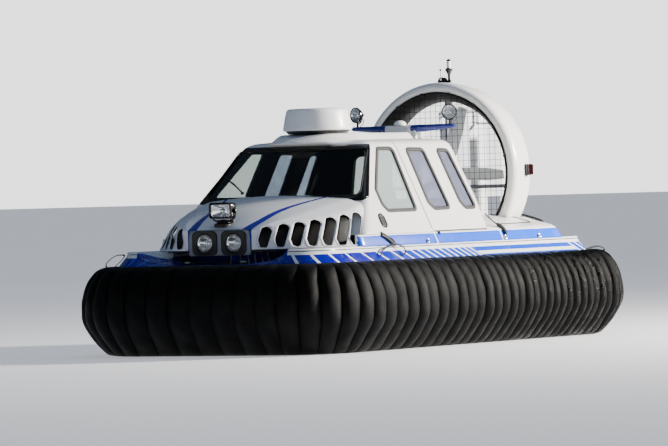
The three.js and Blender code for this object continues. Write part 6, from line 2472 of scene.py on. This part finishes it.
@dataclass
class Fittings:
    """Straps, loops, lugs, the seams of the deck's lids, the cabin's vents and the doors' catches."""

    lug_places: tuple = ((0.9365, -0.378), (0.9365, 0.771), (0.9365, 1.290))

    def strap(
        self, points: Sequence[Sequence[float]], normals: Sequence[float], width: float, thick: float,
        count: int = 40
    ) -> Surface:
        """A flat band laid along a smooth path."""
        return sweep(rounded_rectangle(width, thick, thick * 0.45, 2), through(points, count), normals)

    def both(self, shapes: Sequence[Surface]) -> Surface:
        """Port shapes together with their starboard mirrors."""
        return gathered(list(shapes) + [shape.mirrored() for shape in shapes])

    def build(self, shop: Workshop) -> None:
        """Makes the fittings."""
        lugs = []
        for x, y in self.lug_places:
            plate = block((x - 0.003, x + 0.001), (y - 0.014, y + 0.014), (0.796, 0.824))
            angle = np.linspace(0, 2 * np.pi, 28, endpoint=False)
            eye = np.stack(
                [x + 0.007 + 0 * angle, y + 0.011 * np.cos(angle), 0.812 + 0.015 * np.sin(angle)], axis=1
            )
            lugs += [plate, tube(eye, 0.0038, 8, closed=True)]
        shop.piece("deck_lugs", self.both(lugs), [CHROME])
        out = (0.79, 0.0, 0.61)
        body = self.strap(
            [(0.9130, -1.012, 0.8790), (0.9235, -0.960, 0.8560), (0.9330, -0.905, 0.8230),
                (0.9400, -0.862, 0.7985)], out, 0.046, 0.022
        )
        loop = through(
            [(0.9260, -0.955, 0.8530), (0.9330, -0.925, 0.8480), (0.9400, -0.890, 0.8320),
                (0.9430, -0.868, 0.8080)], 30
        )
        behind = through(
            [(0.944, -0.880, 0.806), (0.965, -0.838, 0.790), (0.982, -0.800, 0.768), (0.992, -0.792, 0.742),
                (0.994, -0.815, 0.722), (0.996, -0.850, 0.712)], 50
        )
        ahead = through(
            [(0.944, -0.884, 0.802), (0.962, -0.955, 0.792), (0.972, -1.060, 0.770), (0.985, -1.130, 0.735),
                (0.996, -1.150, 0.708)], 50
        )
        flat = rounded_rectangle(0.012, 0.006, 0.0025, 2)
        straps = [sweep(flat, path, (0.85, 0.0, 0.5)) for path in (ahead, behind)]
        shop.piece("bow_cleat", self.both([body, tube(loop, 0.007, 10)]), [RUBBER])
        shop.piece("bow_cleat_straps", self.both(straps), [WEBBING])
        lashing = self.strap(
            [(0.858, 0.605, 1.002), (0.866, 0.665, 0.962), (0.876, 0.735, 0.921), (0.900, 0.772, 0.893),
                (0.922, 0.790, 0.862), (0.936, 0.796, 0.832)], (0.85, 0.25, 0.45), 0.022, 0.006, 60
        )
        buckle = self.strap(
            [(0.884, 0.742, 0.915), (0.915, 0.775, 0.885), (0.938, 0.795, 0.842)], (0.85, 0.2, 0.45), 0.044,
            0.018
        )
        shop.piece("lashing_strap", self.both([lashing]), [WEBBING])
        shop.piece("lashing_buckle", self.both([buckle]), [BLACK_PLASTIC])
        rear = self.strap(
            [(0.520, 1.5835, 0.9835), (0.600, 1.5835, 0.9790), (0.700, 1.5835, 0.9560),
                (0.800, 1.5820, 0.9240)], (0.0, 0.3, 0.95), 0.036, 0.014
        )
        shop.piece("stern_handles", self.both([rear]), [RUBBER])
        lid = np.array(
            [(0.505, 1.262, 0.9868), (0.600, 1.395, 0.9720), (0.795, 1.410, 0.9175), (0.805, 0.918, 0.9145)]
        )
        runs = []
        for a, b in zip(lid[:-1], lid[1:]):
            t = np.linspace(0, 1, 30)[:, None]
            runs.append((a + (b - a) * t)[:-1])
        path = np.concatenate(runs + [lid[-1:]])
        path[:, 2] = crown_height(path[:, 0]) + 0.0015
        path = soften(path, 3, closed=False)
        shop.piece(
            "deck_lid_seal",
            self.both([sweep(rounded_rectangle(0.014, 0.006, 0.0025, 2), path, (0.25, 0, 0.97))]), [RUBBER]
        )
        hatch = rounded_rectangle(0.716, 0.362, 0.03, 6) + np.array([0.0, 0.9585])
        seam = np.column_stack([hatch, np.full(len(hatch), 0.9912)])
        shop.piece(
            "engine_hatch_seal",
            sweep(rounded_rectangle(0.008, 0.004, 0.0015, 2), seam, (0, 0, 1), closed=True), [RUBBER]
        )
        self.vents(shop)
        self.loops(shop)

    def vents(self, shop: Workshop) -> None:
        """Vent slots in the cabin's sides: raised rims with slats over a black plate painted as the shade of
        the hollow, and the doors' catches.
        """
        profile = rounded_rectangle(0.009, 0.009, 0.0035, 3)
        slope = np.array([0.901, 0.0, 0.434])
        up = np.array([-0.434, 0.0, 0.901])
        centre = np.array([0.8625, -0.905, 0.980])
        ring2 = Outline([(-0.038, -0.058), (0.038, -0.058), (0.038, 0.058), (-0.038, 0.058)], 0.0365)
        rim, plate = ring2.path(0.0, 0.006), ring2.path(-0.003, 0.006)
        lift = lambda flat, high: centre + flat[:, :1] * np.array(
            [0, 1.0, 0]
        ) + flat[:, 1:] * up + high * slope
        parts = [sweep(profile, lift(rim, 0.002), slope, closed=True)]
        # Painted shade: a black plate stands in for the shade inside the vent.
        dark = stack([lift(plate, -0.002), lift(plate, 0.0015)])
        slats = [
            sweep(rounded_rectangle(0.010, 0.002, 0.0008, 2),
                lift(np.array([(-0.031, h), (0.031, h)]), 0.003), slope * 0.6 + up * 0.8)
            for h in np.linspace(-0.031, 0.031, 6)
        ]
        shop.piece("cabin_vent_rims", self.both(parts), [BLACK_GLOSS])
        shop.piece("cabin_vent_shade_plates", self.both([dark] + slats), [BLACK_PLASTIC])
        latch = block((0.896, 0.916), (-0.205, -0.155), (0.8665, 0.8790))
        tongue = block((0.905, 0.920), (-0.192, -0.170), (0.8560, 0.8700))
        shop.piece("door_catches", self.both([latch, tongue]), [BLACK_GLOSS], bevel=0.003)

    def loops(self, shop: Workshop) -> None:
        """Webbing loops where the skirt meets the deck, at the starboard bow and both stern corners."""
        bow = through(
            [(0.885, -2.085, 0.668), (0.905, -2.080, 0.700), (0.890, -2.040, 0.745), (0.845, -1.985, 0.775),
                (0.815, -1.960, 0.770), (0.825, -1.985, 0.735), (0.850, -2.035, 0.690),
                (0.858, -2.060, 0.665)], 70
        )
        turned = through(
            [(1.060, 1.760, 0.678), (1.085, 1.800, 0.700), (1.100, 1.880, 0.716), (1.115, 1.960, 0.712),
                (1.125, 2.000, 0.690), (1.110, 1.985, 0.676), (1.090, 1.930, 0.686), (1.070, 1.850, 0.690),
                (1.050, 1.800, 0.676)], 80
        )
        profile = rounded_rectangle(0.016, 0.005, 0.002, 2)
        front = sweep(profile, bow, (0.5, -0.6, 0.4)).mirrored()
        stern = sweep(profile, turned - np.array([0, 0, 0.012]), (0.7, 0.1, 0.7))
        shop.piece("lifting_loops", gathered([front, self.both([stern])]), [WEBBING])


# Studio


@dataclass
class Studio:
    """Pale floor, soft light and the camera at the photograph's angle."""

    place: tuple = (23.04, -35.70, 1.297)
    heading: float = 33.0
    roll: float = 2.0
    pitch: float = 1.54
    sensor: float = 36
    focal_pixels: float = 5400
    image_width: float = 668
    clip: float = 900
    floor_reach: float = 260.0
    floor_z: float = -0.001
    lamps: tuple = (
        # name, place, target, size, watts, tint
        ("key", (9.8, 6.4, 4.9), (0, 0, 0.9), 1.5, 6000, (1.0, 0.95, 0.88)),
        ("fill", (-1.0, -10.0, 4.0), (0, 0, 0.8), 7.0, 22, (0.72, 0.86, 1.0)),
        ("top", (0.0, 2.0, 9.0), (0, 0, 0), 6.0, 100, (0.86, 0.92, 1.0)),
    )

    def camera(self) -> None:
        """Sets the camera."""
        psi, rho, pitch = (math.radians(a) for a in (self.heading, self.roll, self.pitch))
        up = Vector((math.sin(rho), 0, math.cos(rho)))
        port = Vector((math.cos(rho), 0, -math.sin(rho)))
        bow = Vector((0, -1, 0))
        back = bow * math.cos(psi) + port * math.sin(psi)
        right = port * math.cos(psi) - bow * math.sin(psi)
        forward = -back * math.cos(pitch) - up * math.sin(pitch)
        head = up * math.cos(pitch) - back * math.sin(pitch)
        data = bpy.data.cameras.new("camera")
        data.lens = self.focal_pixels / self.image_width * self.sensor
        data.sensor_width = self.sensor
        data.clip_end = self.clip
        camera = bpy.data.objects.new("camera", data)
        bpy.context.scene.collection.objects.link(camera)
        matrix = Matrix((right, head, -forward)).transposed().to_4x4()
        matrix.translation = Vector(self.place)
        camera.matrix_world = matrix
        bpy.context.scene.camera = camera

    def light(
        self, name: str, place: Sequence[float], target: Sequence[float], size: float, watts: float,
        tint: Sequence[float]
    ) -> None:
        """Adds one square soft light that looks at a target."""
        data = bpy.data.lights.new(name, "AREA")
        data.size = size
        data.energy = watts
        data.color = tint
        lamp = bpy.data.objects.new(name, data)
        bpy.context.scene.collection.objects.link(lamp)
        way = Vector(target) - Vector(place)
        lamp.matrix_world = Matrix.Translation(
            Vector(place)
        ) @ way.to_track_quat("-Z", "Y").to_matrix().to_4x4()

    def build(self, shop: Workshop) -> None:
        """Makes the floor, the lights and the camera."""
        self.camera()
        r, z = self.floor_reach, self.floor_z
        points = np.array([[[-r, -r, z], [-r, r, z]], [[r, -r, z], [r, r, z]]])
        floor = grid(points).turned()
        mesh = bpy.data.meshes.new("studio_floor")
        mesh.from_pydata(floor.points.tolist(), [], floor.faces[0][0].tolist())
        mesh.materials.append(FLOOR.material())
        stage = bpy.data.objects.new("studio_floor", mesh)
        bpy.context.scene.collection.objects.link(stage)
        self.surroundings()
        for lamp in self.lamps:
            self.light(*lamp)

    def surroundings(self) -> None:
        """A backdrop that is pale low down and dark above, and a softer, bluer light from all directions."""
        world = bpy.data.worlds.new("studio")
        bpy.context.scene.world = world
        world.use_nodes = True
        wiring = Wiring(world.node_tree)
        way = wiring.add("SeparateXYZ", {"Vector": wiring.add("TexCoord").outputs["Generated"]}).outputs["Z"]
        backdrop = wiring.mixed(wiring.ramp(way, 0.06, 0.16), (2.3, 2.3, 2.3, 1.0), (0.02, 0.03, 0.05, 1.0))
        ambient = wiring.mixed(wiring.ramp(way, -0.05, 0.7), (0.13, 0.17, 0.24, 1.0), (0.09, 0.15, 0.27, 1.0))
        ray = wiring.add("LightPath")
        ambient = wiring.mixed(ray.outputs["Is Glossy Ray"], ambient, (0.05, 0.065, 0.09, 1.0))
        seen = wiring.maths("MAXIMUM", ray.outputs["Is Camera Ray"], ray.outputs["Is Transmission Ray"])
        final = wiring.mixed(seen, ambient, backdrop)
        world.node_tree.links.new(final, world.node_tree.nodes["Background"].inputs["Color"])


PLAIN_NODES = {
    "hull_tub": HULL_BLACK,
    "wiper": BLACK_PLASTIC,
    "engine": ENGINE_METAL,
    "engine_hatch": GELCOAT,
    "propeller": COMPOSITE,
    "pylon": PYLON_GREY,
    **{f"rudder_{k}": RUDDER_GREY for k in range(1, 5)},
    "rudder_frame_upper": ALUMINIUM,
    "rudder_frame_lower": ALUMINIUM,
}


def main() -> None:
    """Builds every piece in order."""
    logging.basicConfig(level=logging.INFO, format="%(message)s")
    shop = Workshop()
    for node, finish in PLAIN_NODES.items():
        shop.coat(node, finish.material())
    for part in (
        Studio(), Interior(), Skirt(), Deck(), Cabin(), Hood(), Nose(), Searchlight(), Roof(), Duct(),
        Fittings()
    ):
        part.build(shop)
        log.info("%s built, %d pieces so far", type(part).__name__, shop.count)


if __name__ == "__main__":
    main()
